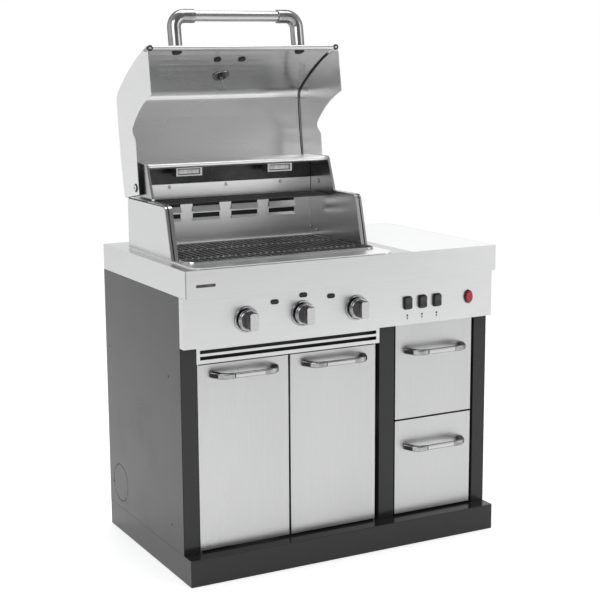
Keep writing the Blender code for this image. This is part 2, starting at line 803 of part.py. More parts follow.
def button_body(name, x, z, size, growth, material, group=None, proud=0.02):
    """A push-button's solid, or the hole that it slides in."""
    span = (PANEL_Y - proud, PANEL_Y + BUTTON_DEPTH)
    return plate(name, button_outline(x, z, size, growth), "XZ", span, material, group)


def make_knobs(finishes):
    width, height = KNOB_GRIP_SIZE
    for number, (x, z) in enumerate(knob_centres(), 1):
        base = PANEL_Y - KNOB_STANDOFF
        length = KNOB_REACH - KNOB_STANDOFF
        dome = KNOB_SKIRT + 0.012
        profile = [
            (0, dome),
            (KNOB_RADIUS * 0.55, dome),
            (KNOB_RADIUS * 0.82, KNOB_SKIRT + 0.006),
            (KNOB_RADIUS * 0.96, KNOB_SKIRT),
            (KNOB_RADIUS, KNOB_SKIRT - 0.002),
            (KNOB_RADIUS, 0),
            (0, 0),
        ]
        knob = turned(f"burner_knob_{number}", profile, (x, base, z), (0, -1, 0), finishes["chrome"], 32)
        grip = box(
            "grip",
            (x - width / 2, base - length, z - height / 2),
            (x + width / 2, base - KNOB_SKIRT + 0.003, z + height / 2),
            None,
            cutters,
        )
        soften(grip, 0.003, 2)
        join(knob, grip)
        cut(knob, cut_bar((x, base + CUT_OVER, z), (x, base - STEM_REACH, z), KNOB_BORE, 16))
        pivot(f"burner_knob_{number}_axis", (x, base, z), [knob])


def make_buttons(finishes):
    for number, (x, z) in enumerate(switch_centres(), 1):
        name = f"light_button_{number}"
        button = button_body(name, x, z, SWITCH_SIZE, 0, finishes["black"], proud=SWITCH_PROUD)
        soften(button, 0.0015, 1)
        pivot(f"light_button_{number}_slide", (x, PANEL_Y, z), [button])
    z = COUNTER_HEIGHT - CONTROL_DROP
    name = "igniter_button"
    button = button_body(name, IGNITER_X, z, IGNITER_SIZE, 0, finishes["red"], proud=IGNITER_PROUD)
    soften(button, 0.002, 2)
    pivot("igniter_slide", (IGNITER_X, PANEL_Y, z), [button])


# ---------------------------------------------------------------- firebox
def make_firebox_tub(finishes):
    inside, outside = tub_outline()
    bottom = COUNTER_HEIGHT - TUB_DEPTH
    rim_front = COUNTER_Y + RIM_FRONT_SET
    rim = rectangle((OUTER_LEFT, rim_front), (OUTER_RIGHT, DOOR_Y + FIREBOX_BACK + 0.003))
    outline = rounded(rim, [RIM_CORNER, RIM_CORNER, 0, 0])
    tub = plate("firebox_tub", outline, "XY", (COUNTER_HEIGHT + GAP, RIM_TOP), finishes["stainless"])
    wall = box("tub_wall", (*outside[0], bottom), (*outside[1], COUNTER_HEIGHT + 0.002), None, cutters)
    well = cut_box((*inside[0], bottom + SHEET), (*inside[1], COUNTER_HEIGHT + 0.02))
    drip_slot = cut_box(
        (FIREBOX_CENTRE - DRIP_SLOT_HALF, DOOR_Y + DRIP_SLOT_SPAN[0], bottom - CUT_OVER),
        (FIREBOX_CENTRE + DRIP_SLOT_HALF, DOOR_Y + DRIP_SLOT_SPAN[1], bottom + CUT_OVER),
    )
    join(tub, wall)
    cut(tub, well, drip_slot)
    for x in burner_centres():
        z = COUNTER_HEIGHT - BURNER_DROP
        y = DOOR_Y + TUB_FRONT
        cut(tub, cut_bar((x, y - CUT_OVER, z), (x, y + CUT_OVER, z), BURNER_RADIUS + GRATE_GAP))


def firebox_profile():
    """The side wall seen from the side: back, riser, top and sloping front."""
    front = DOOR_Y + FIREBOX_FRONT
    riser = DOOR_Y + RISER_FRONT
    back = DOOR_Y + FIREBOX_BACK
    points = [
        (back, WALL_BOTTOM),
        (back, RISER_TOP),
        (riser, RISER_TOP),
        (riser - RISER_SLOPE, WALL_TOP),
        (front + FIREBOX_SLOPE, WALL_TOP),
        (front, WALL_BOTTOM),
    ]
    return rounded(points, [0, 0.004, 0.008, 0.012, 0.020, 0])


def lid_notch():
    """The curved lower edge of the lid's side, over the firebox wall's shoulder, from front to back."""
    shoulder = DOOR_Y + FIREBOX_FRONT + FIREBOX_SLOPE
    return [(shoulder + along, WALL_TOP + rise) for along, rise in LID_NOTCH]


def make_firebox_sides(finishes):
    stainless = finishes["stainless"]
    cap = FIREBOX_SIDE
    for side, inner, inwards in (("left", INNER_LEFT, 1), ("right", INNER_RIGHT, -1)):
        outer = inner - inwards * cap

        def span(first, second):
            return (min(first, second), max(first, second))

        name = f"firebox_side_{side}"
        wall = plate(name, firebox_profile(), "YZ", span(outer, inner + inwards * SHEET), stainless)
        # the panel is hollow behind its turned-out edge
        front = DOOR_Y + FIREBOX_FRONT
        hollow_points = [
            (DOOR_Y + FIREBOX_BACK + CUT_OVER, WALL_BOTTOM - CUT_OVER),
            (DOOR_Y + FIREBOX_BACK + CUT_OVER, RISER_TOP - SHEET),
            (DOOR_Y + RISER_FRONT + SHEET, RISER_TOP - SHEET),
            (DOOR_Y + RISER_FRONT - RISER_SLOPE + SHEET, WALL_TOP - SHEET),
            (front + FIREBOX_SLOPE + SHEET, WALL_TOP - SHEET),
            (front + SHEET - CUT_OVER * FIREBOX_SLOPE / (WALL_TOP - WALL_BOTTOM), WALL_BOTTOM - CUT_OVER),
        ]
        hollow = plate(
            "cutter",
            rounded(hollow_points, [0, 0.003, 0.007, 0.012, 0.019, 0]),
            "YZ",
            span(outer - inwards * CUT_OVER, inner),
            None,
            cutters,
        )
        # the lid's side swings past the riser, whose edge is narrower than the wall's
        swing_x = span(outer - inwards * CUT_OVER, inner - inwards * 2 * MOVING_GAP)
        swing = cut_box((swing_x[0], DOOR_Y, WALL_TOP + GAP), (swing_x[1], BACK_Y, RISER_TOP + CUT_OVER))
        # a slot from the front edge takes the lid's side as it closes
        slot_points = [
            (front - CUT_OVER, LID_BOTTOM - LID_SLOT),
            (front + LID_TOE + LID_SLOT, LID_BOTTOM - LID_SLOT),
        ]
        slot_points += [(y + LID_SLOT, z) for y, z in lid_notch()[:NOTCH_POINTS_IN_WALL]]
        slot_points.append((front - CUT_OVER, slot_points[-1][1]))
        side_x = outer + inwards * (LID_SIDE_SET + SHEET / 2)
        slot_x = (side_x - LID_SLOT / 2, side_x + LID_SLOT / 2)
        cut(wall, hollow, swing, plate("cutter", slot_points, "YZ", slot_x, None, cutters))
        skin_points = rounded(
            [
                (DOOR_Y + FIREBOX_BACK, WALL_BOTTOM),
                (DOOR_Y + FIREBOX_BACK, WALL_TOP - SHEET - MOVING_GAP),
                (front + FIREBOX_SLOPE + 0.004, WALL_TOP - SHEET - MOVING_GAP),
                (front + 0.004, WALL_BOTTOM),
            ],
            [0, 0, 0.018, 0],
        )
        skin_x = span(outer, outer + inwards * SHEET)
        plate(f"firebox_skin_{side}", skin_points, "YZ", skin_x, stainless)


def make_firebox_back(finishes):
    span = (INNER_LEFT + SHEET + GAP, INNER_RIGHT - SHEET - GAP)
    back_y = DOOR_Y + FIREBOX_BACK - BACK_WALL_SET
    low = (span[0], back_y, WALL_BOTTOM)
    high = (span[1], back_y + SHEET, RISER_TOP - BACK_WALL_DROP)
    wall = box("firebox_back", low, high, finishes["stainless"])
    for row_rise in SLOT_RISES:
        z = COUNTER_HEIGHT + row_rise
        for i in range(4):
            left = FIREBOX_CENTRE + (i - 1.5) * SLOT_PITCH - SLOT_WIDTH / 2
            right = left + SLOT_WIDTH
            slot = cut_box((left, back_y - CUT_OVER, z), (right, back_y + CUT_OVER, z + SLOT_HEIGHT))
            cut(wall, slot)


def make_hood(finishes):
    """The folded cover over the back of the firebox, which ends at the front in a rolled bar."""
    span = (INNER_LEFT + SHEET + GAP, INNER_RIGHT - SHEET - GAP)
    back_y = DOOR_Y + FIREBOX_BACK - BACK_WALL_SET - GAP - SHEET / 2
    roll = HOOD_ROLL
    centre = (DOOR_Y + RISER_FRONT + 2 * roll, RISER_TOP - roll - SHEET - 0.001)
    line = [(back_y, RISER_TOP - HOOD_DROP), (back_y, centre[1] + roll)]
    line += arc(centre, roll, 90, 380, 10)
    folded_sheet("hood", line, "YZ", span, finishes["stainless"], HOOD_SHEET)


def make_lamps(finishes):
    for side, sign in (("left", -1), ("right", 1)):
        x = FIREBOX_CENTRE + sign * LAMP_SPREAD
        y = DOOR_Y + RISER_FRONT + LAMP_SET
        top = RISER_TOP - SHEET - MOVING_GAP
        width, depth, height = LAMP_SIZE
        low = (x - width / 2, y - depth / 2, top - height)
        high = (x + width / 2, y + depth / 2, top)
        lamp = box(f"firebox_lamp_{side}", low, high, finishes["lens"])
        soften(lamp, 0.003, 2)


def make_warming_rack(finishes):
    bottom = WALL_TOP - RACK_DROP
    low = (INNER_LEFT + SHEET + 2 * GAP, DOOR_Y + RISER_FRONT - RACK_FRONT_SET, bottom)
    high = (INNER_RIGHT - SHEET - 2 * GAP, DOOR_Y + FIREBOX_BACK - RACK_BACK_SET, bottom + RACK_THICKNESS)
    rack = box("warming_rack", low, high, finishes["iron"])
    pitch = (high[0] - low[0] - RACK_BAR) / RACK_SLOTS
    for i in range(RACK_SLOTS):
        start = low[0] + RACK_BAR + i * pitch
        slot_low = (start, low[1] + RACK_BAR, low[2] - CUT_OVER)
        slot_high = (start + pitch - RACK_BAR, high[1] - RACK_BAR, high[2] + CUT_OVER)
        cut(rack, cut_box(slot_low, slot_high))


def grate_spans():
    low = INNER_LEFT + SHEET + MOVING_GAP
    high = INNER_RIGHT - SHEET - MOVING_GAP
    pitch = (high - low + GRATE_GAP) / GRATE_COUNT
    return [(low + i * pitch, low + (i + 1) * pitch - GRATE_GAP) for i in range(GRATE_COUNT)]


def burner_centres():
    return [(low + high) / 2 for low, high in grate_spans()]


def make_grates(finishes):
    top = RIM_TOP - 0.001
    bottom = top - GRATE_THICKNESS
    front = DOOR_Y + TUB_FRONT + GRATE_SET
    back = DOOR_Y + TUB_BACK - GRATE_SET
    for number, (low, high) in enumerate(grate_spans(), 1):
        grate = box(f"cooking_grate_{number}", (low, front, bottom), (high, back, top), finishes["iron"])
        pitch = (high - low) / GRATE_RIBS
        slot = pitch * 0.45
        length = (back - front) / 3
        for i in range(GRATE_RIBS):
            x = low + (i + 0.5) * pitch
            for j in range(3):
                y = front + j * length
                low_corner = (x - slot / 2, y + GRATE_BAR, bottom - CUT_OVER)
                high_corner = (x + slot / 2, y + length - GRATE_BAR, top + CUT_OVER)
                cut(grate, cut_box(low_corner, high_corner))


def make_heat_plates(finishes):
    top = COUNTER_HEIGHT - HEAT_PLATE_DROP
    foot = top - HEAT_PLATE_FOLD
    edge = HEAT_PLATE_HALF + HEAT_PLATE_LIP
    span = (DOOR_Y + TUB_FRONT + HEAT_PLATE_LIP, DOOR_Y + TUB_BACK - HEAT_PLATE_LIP)
    for number, x in enumerate(burner_centres(), 1):
        line = [
            (x - edge, foot),
            (x - HEAT_PLATE_HALF, foot),
            (x, top),
            (x + HEAT_PLATE_HALF, foot),
            (x + edge, foot),
        ]
        folded_sheet(f"heat_plate_{number}", line, "XZ", span, finishes["steel"])


def make_burners(finishes):
    z = COUNTER_HEIGHT - BURNER_DROP
    for number, x in enumerate(burner_centres(), 1):
        start = (x, DOOR_Y + 0.018, z)
        end = (x, DOOR_Y + TUB_BACK - 0.020, z)
        burner = cylinder(f"burner_{number}", start, end, BURNER_RADIUS, finishes["steel"], 20)
        throat = cut_bar((x, DOOR_Y, z), (x, DOOR_Y + TUB_BACK - 0.025, z), BURNER_RADIUS - BURNER_WALL, 20)
        cut(burner, throat)


def make_manifold(finishes):
    """The gas rail with its three valves, whose stems carry the knobs."""
    y = DOOR_Y + RAIL_SET
    centres = knob_centres()
    z = centres[0][1] - RAIL_DROP
    start = (centres[0][0] - RAIL_ENDS[0], y, z)
    end = (centres[-1][0] + RAIL_ENDS[1], y, z)
    rail = cylinder("gas_manifold", start, end, RAIL_RADIUS, finishes["steel"], 16)
    for x, height in centres:
        valve_low = (x - VALVE_HALF, y - VALVE_REACH[0], height - VALVE_RISE[0])
        valve_high = (x + VALVE_HALF, y + VALVE_REACH[1], height + VALVE_RISE[1])
        stem_end = PANEL_Y - KNOB_STANDOFF - STEM_REACH + 0.002
        stem = cut_bar((x, y - VALVE_REACH[1], height), (x, stem_end, height), STEM_RADIUS, 12)
        join(rail, cut_box(valve_low, valve_high), stem)
    inlet_x = end[0] - INLET_SET
    join(rail, cut_bar((inlet_x, y, z), (inlet_x, y, z - INLET_DROP), INLET_RADIUS, 12))


def tray_box():
    top = COUNTER_HEIGHT - TUB_DEPTH - TRAY_CLEARANCE
    low = (FIREBOX_CENTRE - TRAY_HALF, DOOR_Y + TRAY_FRONT, top - TRAY_HEIGHT)
    high = (FIREBOX_CENTRE + TRAY_HALF, BACK_Y - GAP, top)
    return low, high


def make_grease_tray(finishes):
    low, high = tray_box()
    tray = box("grease_tray", low, high, finishes["steel"])
    inside_low = (low[0] + SHEET, low[1] + SHEET, low[2] + SHEET)
    inside_high = (high[0] - SHEET, high[1] - SHEET, high[2] + CUT_OVER)
    cut(tray, cut_box(inside_low, inside_high))
    pivot("grease_tray_slide", (FIREBOX_CENTRE, low[1], low[2]), [tray])


# ---------------------------------------------------------------- lid
def lid_front(t):
    """A point on the lid's front sheet and its outward direction, from the hem at 0 to the bend at 1."""
    front = DOOR_Y + LID_FRONT_BACK
    foot = Vector((front + SHEET / 2, LID_BOTTOM + SHEET / 2 + LID_HEM_RADIUS))
    head = Vector((front + LID_FRONT_LEAN, LID_TOP - LID_BEND_DROP))
    chord = head - foot
    outwards = Vector((-chord.y, chord.x)).normalized()
    point = foot + chord * t + outwards * (4 * LID_FRONT_BOW * t * (1 - t))
    along = (chord + outwards * (4 * LID_FRONT_BOW * (1 - 2 * t))).normalized()
    return point, Vector((-along.y, along.x))


def lid_front_at(height):
    """Where the lid's front sheet passes a height, by halving."""
    low = 0.0
    high = 1.0
    for _ in range(30):
        middle = (low + high) / 2
        if lid_front(middle)[0].y < height:
            low = middle
        else:
            high = middle
    return lid_front(low)


def lid_skin_line():
    """The lid's skin seen from the side when closed, from the rolled front hem to the back."""
    front = DOOR_Y + LID_FRONT_BACK
    back = DOOR_Y + LID_BACK
    half = SHEET / 2
    hem = LID_HEM_RADIUS
    curl_centre = (front + half + hem, LID_BOTTOM + half + hem)
    bow = [lid_front(i / 8)[0] for i in range(9)]
    head = bow[-1]
    climb = head - bow[-2]
    leave = math.atan2(climb.y, climb.x) + math.radians(90)
    centre = head - LID_BEND_RADIUS * Vector((math.cos(leave), math.sin(leave)))
    bend = arc(centre, LID_BEND_RADIUS, math.degrees(leave), LID_TOP_LEAN, 7)[1:]
    start = Vector(bend[-1])
    rear = Vector((back - half, LID_TOP - LID_REAR_DROP))
    chord = rear - start
    up = Vector((-chord.y, chord.x)).normalized()
    roof = []
    for i in range(1, 7):
        t = i / 6
        roof.append(tuple(start + chord * t + up * (4 * LID_ROOF_BOW * t * (1 - t))))
    curl = arc(curl_centre, hem, 140, -120, 9) + arc(curl_centre, hem, -120, -180, 3)[1:]
    rear_lip = [(rear.x, rear.y - LID_REAR_LIP)]
    return curl + [tuple(point) for point in bow[1:]] + bend + roof + rear_lip


def lid_outline():
    """The lid's side panel when closed. Its lower edge clears the firebox side and its riser."""
    skin = lid_skin_line()
    inset = SHEET / 2 + 0.0004
    outer = [point for point in skin[13:-1]]
    edge = []
    for i, point in enumerate(outer):
        before = Vector(outer[max(i - 1, 0)])
        after = Vector(outer[min(i + 1, len(outer) - 1)])
        along = (after - before).normalized()
        inwards = Vector((along.y, -along.x))
        edge.append(tuple(Vector(point) + inwards * inset))
    back = DOOR_Y + LID_BACK - SHEET
    front = DOOR_Y + FIREBOX_FRONT
    lower = [(back, HINGE_Z - 0.021), (HINGE_Y - LID_BEND_RADIUS, HINGE_Z - 0.023)]
    lower += reversed(lid_notch())
    lower.append((front + LID_TOE, LID_BOTTOM))
    hem_clear = DOOR_Y + LID_FRONT_BACK + 2 * LID_HEM_RADIUS + 2 * SHEET
    foot = [(hem_clear, LID_BOTTOM), (hem_clear, LID_BOTTOM + 2.6 * LID_HEM_RADIUS)]
    return edge + lower + foot


def make_lid_handle(finishes):
    """A tube grip between two cast elbows, whose feet are trimmed to the lid's slope."""
    z = COUNTER_HEIGHT + HANDLE_RISE
    foot, _ = lid_front_at(z)
    bar_y = foot.x - HANDLE_REACH
    bend = HANDLE_BEND
    pieces = []
    face = []
    for i in range(9):
        point, outwards = lid_front(i / 8)
        face.append(tuple(point + outwards * (SHEET / 2 + GAP)))
    behind = face[-1][0] + HANDLE_REACH
    below = face[0][1] - CUT_OVER
    trim_outline = face + [(behind, face[-1][1]), (behind, below), (face[0][0], below)]
    for side, sign in (("left", -1), ("right", 1)):
        x = FIREBOX_CENTRE + sign * HANDLE_SPAN / 2
        points = [(x, foot.x + 0.012, z)]
        points += [(x - sign * (bend - px), bar_y + bend - py, z) for px, py in arc((0, 0), bend, 0, 90, 6)]
        points.append((x - sign * HANDLE_SHANK, bar_y, z))
        elbow = tube(f"lid_handle_elbow_{side}", points, HANDLE_LEG_RADIUS, finishes["chrome"], 4)
        cut(elbow, plate("cutter", trim_outline, "YZ", (x - HANDLE_BEND, x + HANDLE_BEND), None, cutters))
        pieces.append(elbow)
    reach = HANDLE_SPAN / 2 - HANDLE_SHANK - GAP
    start = (FIREBOX_CENTRE - reach, bar_y, z)
    end = (FIREBOX_CENTRE + reach, bar_y, z)
    pieces.append(cylinder("lid_handle_bar", start, end, HANDLE_BAR_RADIUS, finishes["stainless"], 24))
    return pieces


def make_thermometer(skin, finishes):
    """A dial gauge on the lid's front, with a threaded neck through the sheet and a probe behind it."""
    point, outwards = lid_front_at(COUNTER_HEIGHT + THERMOMETER_RISE)
    centre = Vector((FIREBOX_CENTRE, point.x, point.y))
    lean = Vector((0, outwards.x, outwards.y))
    radius = THERMOMETER_RADIUS
    depth = THERMOMETER_DEPTH
    seat = SHEET / 2 + 0.0012
    neck = THERMOMETER_NECK
    profile = [
        (0, depth),
        (radius - 0.006, depth),
        (radius - 0.002, depth - 0.002),
        (radius, depth / 2),
        (radius, seat),
        (neck, seat),
        (neck, -depth),
        (PROBE_RADIUS, -depth - 0.002),
        (PROBE_RADIUS, -PROBE_REACH),
        (0, -PROBE_REACH),
    ]
    cut(skin, cut_bar(centre - lean * 2 * depth, centre + lean * 2 * depth, neck + 0.001))
    return turned("lid_thermometer", profile, centre, lean, finishes["chrome"], 28)


def make_lid(finishes):
    stainless = finishes["stainless"]
    inside = (LID_LEFT + SHEET + GAP, LID_RIGHT - SHEET - GAP)
    skin = folded_sheet("lid_skin", lid_skin_line(), "YZ", inside, stainless)
    members = [skin]
    for side, low in (("left", LID_LEFT), ("right", LID_RIGHT - SHEET)):
        members.append(plate(f"lid_side_{side}", lid_outline(), "YZ", (low, low + SHEET), stainless))
    members += make_lid_handle(finishes)
    members.append(make_thermometer(skin, finishes))
    pivot("lid_hinge", (FIREBOX_CENTRE, HINGE_Y, HINGE_Z), members, (-LID_OPEN_ANGLE, 0, 0))


def main():
    global model, cutters
    clear_scene()
    model = new_collection("gas_barbecue_grill")
    cutters = new_collection("cutters")
    finishes = make_finishes()
    make_plinth(finishes)
    make_posts(finishes)
    make_cabinet_panels(finishes)
    make_louvre_panel(finishes)
    make_doors(finishes)
    make_drawers(finishes)
    make_counter(finishes)
    make_control_panel(finishes)
    make_knobs(finishes)
    make_buttons(finishes)
    make_firebox_tub(finishes)
    make_firebox_sides(finishes)
    make_firebox_back(finishes)
    make_hood(finishes)
    make_lamps(finishes)
    make_warming_rack(finishes)
    make_grates(finishes)
    make_heat_plates(finishes)
    make_burners(finishes)
    make_manifold(finishes)
    make_grease_tray(finishes)
    make_lid(finishes)


main()
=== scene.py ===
import json
import math

import bpy
from mathutils import Matrix, Vector

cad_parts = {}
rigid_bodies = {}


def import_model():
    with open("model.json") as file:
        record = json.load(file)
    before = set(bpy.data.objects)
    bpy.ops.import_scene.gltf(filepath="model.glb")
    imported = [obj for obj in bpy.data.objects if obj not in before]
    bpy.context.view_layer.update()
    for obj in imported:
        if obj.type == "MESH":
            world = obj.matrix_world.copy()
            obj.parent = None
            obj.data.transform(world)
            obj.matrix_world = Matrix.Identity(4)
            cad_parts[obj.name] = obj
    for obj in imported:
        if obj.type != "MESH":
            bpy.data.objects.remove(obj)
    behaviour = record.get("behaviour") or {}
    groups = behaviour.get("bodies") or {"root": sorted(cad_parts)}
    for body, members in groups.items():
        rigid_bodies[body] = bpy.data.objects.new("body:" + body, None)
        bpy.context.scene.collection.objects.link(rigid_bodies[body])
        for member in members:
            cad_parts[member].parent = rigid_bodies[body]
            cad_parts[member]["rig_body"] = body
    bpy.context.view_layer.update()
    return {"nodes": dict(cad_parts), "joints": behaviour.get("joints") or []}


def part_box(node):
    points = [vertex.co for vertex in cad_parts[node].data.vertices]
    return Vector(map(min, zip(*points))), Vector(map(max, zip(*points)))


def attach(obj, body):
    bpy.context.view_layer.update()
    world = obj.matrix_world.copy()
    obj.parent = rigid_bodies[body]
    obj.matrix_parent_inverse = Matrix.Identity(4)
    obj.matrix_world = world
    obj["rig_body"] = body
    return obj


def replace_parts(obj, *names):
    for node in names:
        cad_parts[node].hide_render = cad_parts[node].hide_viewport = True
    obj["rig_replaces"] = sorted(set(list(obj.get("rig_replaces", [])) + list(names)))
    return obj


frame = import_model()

# ---------------------------------------------------------------- studio
# A pale floor in an even white room, with a large soft box above the viewer's left shoulder, a weaker one on
# the right and one overhead. The room dims a little overhead and behind the viewer, so that bright metal has
# something to mirror.
scene = bpy.context.scene
scene.view_settings.view_transform = "Standard"

camera_data = bpy.data.cameras.new("camera")
camera_data.lens = 83.19
camera_data.sensor_width = 36
camera_data.shift_x = -0.0022
camera_data.shift_y = -0.0009
camera = bpy.data.objects.new("camera", camera_data)
camera.location = (-2.0091, -3.7595, 1.5181)
camera.rotation_euler = (math.radians(79.690), math.radians(0.315), math.radians(-28.193))
scene.collection.objects.link(camera)
scene.camera = camera


def soft_box(name, place, aim, width, height, power):
    """A rectangular lamp at a place, turned to face the point it lights."""
    data = bpy.data.lights.new(name, "AREA")
    data.shape = "RECTANGLE"
    data.size = width
    data.size_y = height
    data.energy = power
    light = bpy.data.objects.new(name, data)
    light.location = place
    light.rotation_euler = (Vector(aim) - Vector(place)).to_track_quat("-Z", "Y").to_euler()
    scene.collection.objects.link(light)


soft_box("key_box", (-2.6, -2.4, 3.2), (0, 0, 0.7), 2.4, 1.8, 60)
soft_box("fill_box", (3.0, -2.6, 1.8), (0.2, 0, 0.6), 1.6, 2.4, 25)
soft_box("top_box", (0.3, 0.2, 3.6), (0, 0, 0.6), 2.6, 1.6, 40)

world = bpy.data.worlds.new("white_room")
scene.world = world
world.use_nodes = True
room = world.node_tree
room.nodes.clear()


def room_node(kind, **values):
    """A node of the room's light, with its sockets set."""
    node = room.nodes.new("ShaderNode" + kind)
    for socket, value in values.items():
        node.inputs[socket.replace("_", " ")].default_value = value
    return node


room_out = room_node("OutputWorld")
seen_white = room_node("Background", Color=(1, 1, 1, 1), Strength=1.0)
room_glow = room_node("Background", Strength=1.08)
room_place = room_node("TexCoord")
room_split = room_node("SeparateXYZ")
room_lift = room_node("MapRange", From_Min=-1, From_Max=1)
room_side = room_node("MapRange", From_Min=-0.9, From_Max=0.1, To_Min=0.30, To_Max=1.0)
room_height = room_node("ValToRGB")
room_height.color_ramp.elements[0].position = 0.46
room_height.color_ramp.elements[0].color = (0.80, 0.80, 0.81, 1)
room_height.color_ramp.elements[1].position = 0.60
room_height.color_ramp.elements[1].color = (1, 1, 1, 1)
room_top = room_height.color_ramp.elements.new(0.95)
room_top.color = (0.60, 0.61, 0.62, 1)
room_shade = room_node("Mix")
room_shade.data_type = "RGBA"
room_shade.blend_type = "MULTIPLY"
room_shade.inputs["Factor"].default_value = 1
room_ray = room_node("LightPath")
room_mix = room_node("MixShader")
for source, target in (
    (room_place.outputs["Generated"], room_split.inputs[0]),
    (room_split.outputs["Z"], room_lift.inputs["Value"]),
    (room_lift.outputs[0], room_height.inputs[0]),
    (room_split.outputs["Y"], room_side.inputs["Value"]),
    (room_height.outputs[0], room_shade.inputs["A"]),
    (room_side.outputs[0], room_shade.inputs["B"]),
    (room_shade.outputs["Result"], room_glow.inputs["Color"]),
    (room_ray.outputs["Is Camera Ray"], room_mix.inputs[0]),
    (room_glow.outputs[0], room_mix.inputs[1]),
    (seen_white.outputs[0], room_mix.inputs[2]),
    (room_mix.outputs[0], room_out.inputs["Surface"]),
):
    room.links.new(source, target)

bpy.ops.object.select_all(action="DESELECT")
bpy.ops.mesh.primitive_plane_add(size=60, location=(0, 0, -0.0005))
floor = bpy.context.object
floor.name = "studio_floor"
floor_finish = bpy.data.materials.new("pale_floor")
floor_finish.use_nodes = True
for socket, value in (("Base Color", (0.97, 0.97, 0.97, 1)), ("Roughness", 0.8),
                      ("Emission Color", (1, 1, 1, 1)), ("Emission Strength", 0.36)):
    floor_finish.node_tree.nodes["Principled BSDF"].inputs[socket].default_value = value
floor.data.materials.append(floor_finish)


# ---------------------------------------------------------------- plinth and painted cabinet
# The plinth frame, corner posts, floor and side panels are folded sheet steel, powder coated in gloss graphite.
# The coat has a faint orange peel and slightly duller handling marks. Each side panel has a knock-out for the
# gas line, held by three small bridges, and countersunk screws that draw it to the posts.
def shader_of(material):
    """The shader that a material's grain and marks lead to."""
    return material.node_tree.nodes["Principled BSDF"]


def new_finish(name, colour, metal, rough, more=()):
    """A material with its plain values set, before its grain and marks are added."""
    material = bpy.data.materials.new(name)
    material.use_nodes = True
    values = {"Base Color": (*colour, 1), "Metallic": metal, "Roughness": rough, **dict(more)}
    for socket, value in values.items():
        shader_of(material).inputs[socket].default_value = value
    return material


def grain(material, scale, detail):
    """Noise over the piece, with scale cycles to the metre each way, or a number for each axis."""
    tree = material.node_tree
    place = tree.nodes.new("ShaderNodeTexCoord")
    stretch = tree.nodes.new("ShaderNodeMapping")
    stretch.inputs["Scale"].default_value = (scale,) * 3 if isinstance(scale, int) else scale
    noise = tree.nodes.new("ShaderNodeTexNoise")
    noise.inputs["Scale"].default_value = 1
    noise.inputs["Detail"].default_value = detail
    tree.links.new(place.outputs["Object"], stretch.inputs["Vector"])
    tree.links.new(stretch.outputs["Vector"], noise.inputs["Vector"])
    return noise.outputs["Fac"]


def vary_colour(material, scale, dark, light, detail=3):
    """The base colour runs from dark to light with a grain."""
    tree = material.node_tree
    ramp = tree.nodes.new("ShaderNodeValToRGB")
    ramp.color_ramp.elements[0].position = 0.3
    ramp.color_ramp.elements[0].color = (*dark, 1)
    ramp.color_ramp.elements[1].position = 0.7
    ramp.color_ramp.elements[1].color = (*light, 1)
    tree.links.new(grain(material, scale, detail), ramp.inputs["Fac"])
    tree.links.new(ramp.outputs["Color"], shader_of(material).inputs["Base Color"])


def vary_roughness(material, scale, low, high, detail=3):
    """The roughness runs from low to high with a grain."""
    tree = material.node_tree
    span = tree.nodes.new("ShaderNodeMapRange")
    for socket, value in (("From Min", 0.3), ("From Max", 0.7), ("To Min", low), ("To Max", high)):
        span.inputs[socket].default_value = value
    tree.links.new(grain(material, scale, detail), span.inputs["Value"])
    tree.links.new(span.outputs[0], shader_of(material).inputs["Roughness"])


def bump(material, scale, strength, depth, detail=3):
    """A grain stands proud of the surface by depth metres."""
    tree = material.node_tree
    node = tree.nodes.new("ShaderNodeBump")
    node.inputs["Strength"].default_value = strength
    node.inputs["Distance"].default_value = depth
    tree.links.new(grain(material, scale, detail), node.inputs["Height"])
    tree.links.new(node.outputs["Normal"], shader_of(material).inputs["Normal"])


def finish_node(material, *nodes):
    """Gives CAD nodes whose shape is right their finish."""
    for node in nodes:
        slots = frame["nodes"][node].data.materials
        slots.clear()
        slots.append(material)


def pick(piece):
    """Makes one piece the only one selected."""
    bpy.ops.object.select_all(action="DESELECT")
    piece.select_set(True)
    bpy.context.view_layer.objects.active = piece


def settle(piece):
    """Puts a piece's place, turn and size into its mesh."""
    pick(piece)
    bpy.ops.object.transform_apply(location=True, rotation=True, scale=True)


def block(name, low, high):
    """Sheet or bar stock at its size and place, to be shaped."""
    bpy.ops.object.select_all(action="DESELECT")
    bpy.ops.mesh.primitive_cube_add(size=1, location=[(a + b) / 2 for a, b in zip(low, high)])
    piece = bpy.context.object
    piece.name = name
    piece.scale = [b - a for a, b in zip(low, high)]
    settle(piece)
    return piece


def rod(name, start, end, radius, sides=24):
    """Round stock between two points, to be shaped."""
    run = Vector(end) - Vector(start)
    bpy.ops.object.select_all(action="DESELECT")
    bpy.ops.mesh.primitive_cylinder_add(
        vertices=sides,
        radius=radius,
        depth=run.length,
        location=(Vector(start) + Vector(end)) / 2,
        rotation=run.to_track_quat("Z", "Y").to_euler(),
    )
    piece = bpy.context.object
    piece.name = name
    settle(piece)
    return piece


def combine(piece, operation, *others):
    """Joins other shapes on (UNION) or takes them out of the piece (DIFFERENCE)."""
    for other in others:
        step = piece.modifiers.new("step", "BOOLEAN")
        step.operation = operation
        step.solver = "EXACT"
        step.object = other
        pick(piece)
        bpy.ops.object.modifier_apply(modifier=step.name)
        bpy.data.objects.remove(other)


def cut(piece, *cutters):
    """Takes the cutters' shapes out of the piece."""
    combine(piece, "DIFFERENCE", *cutters)


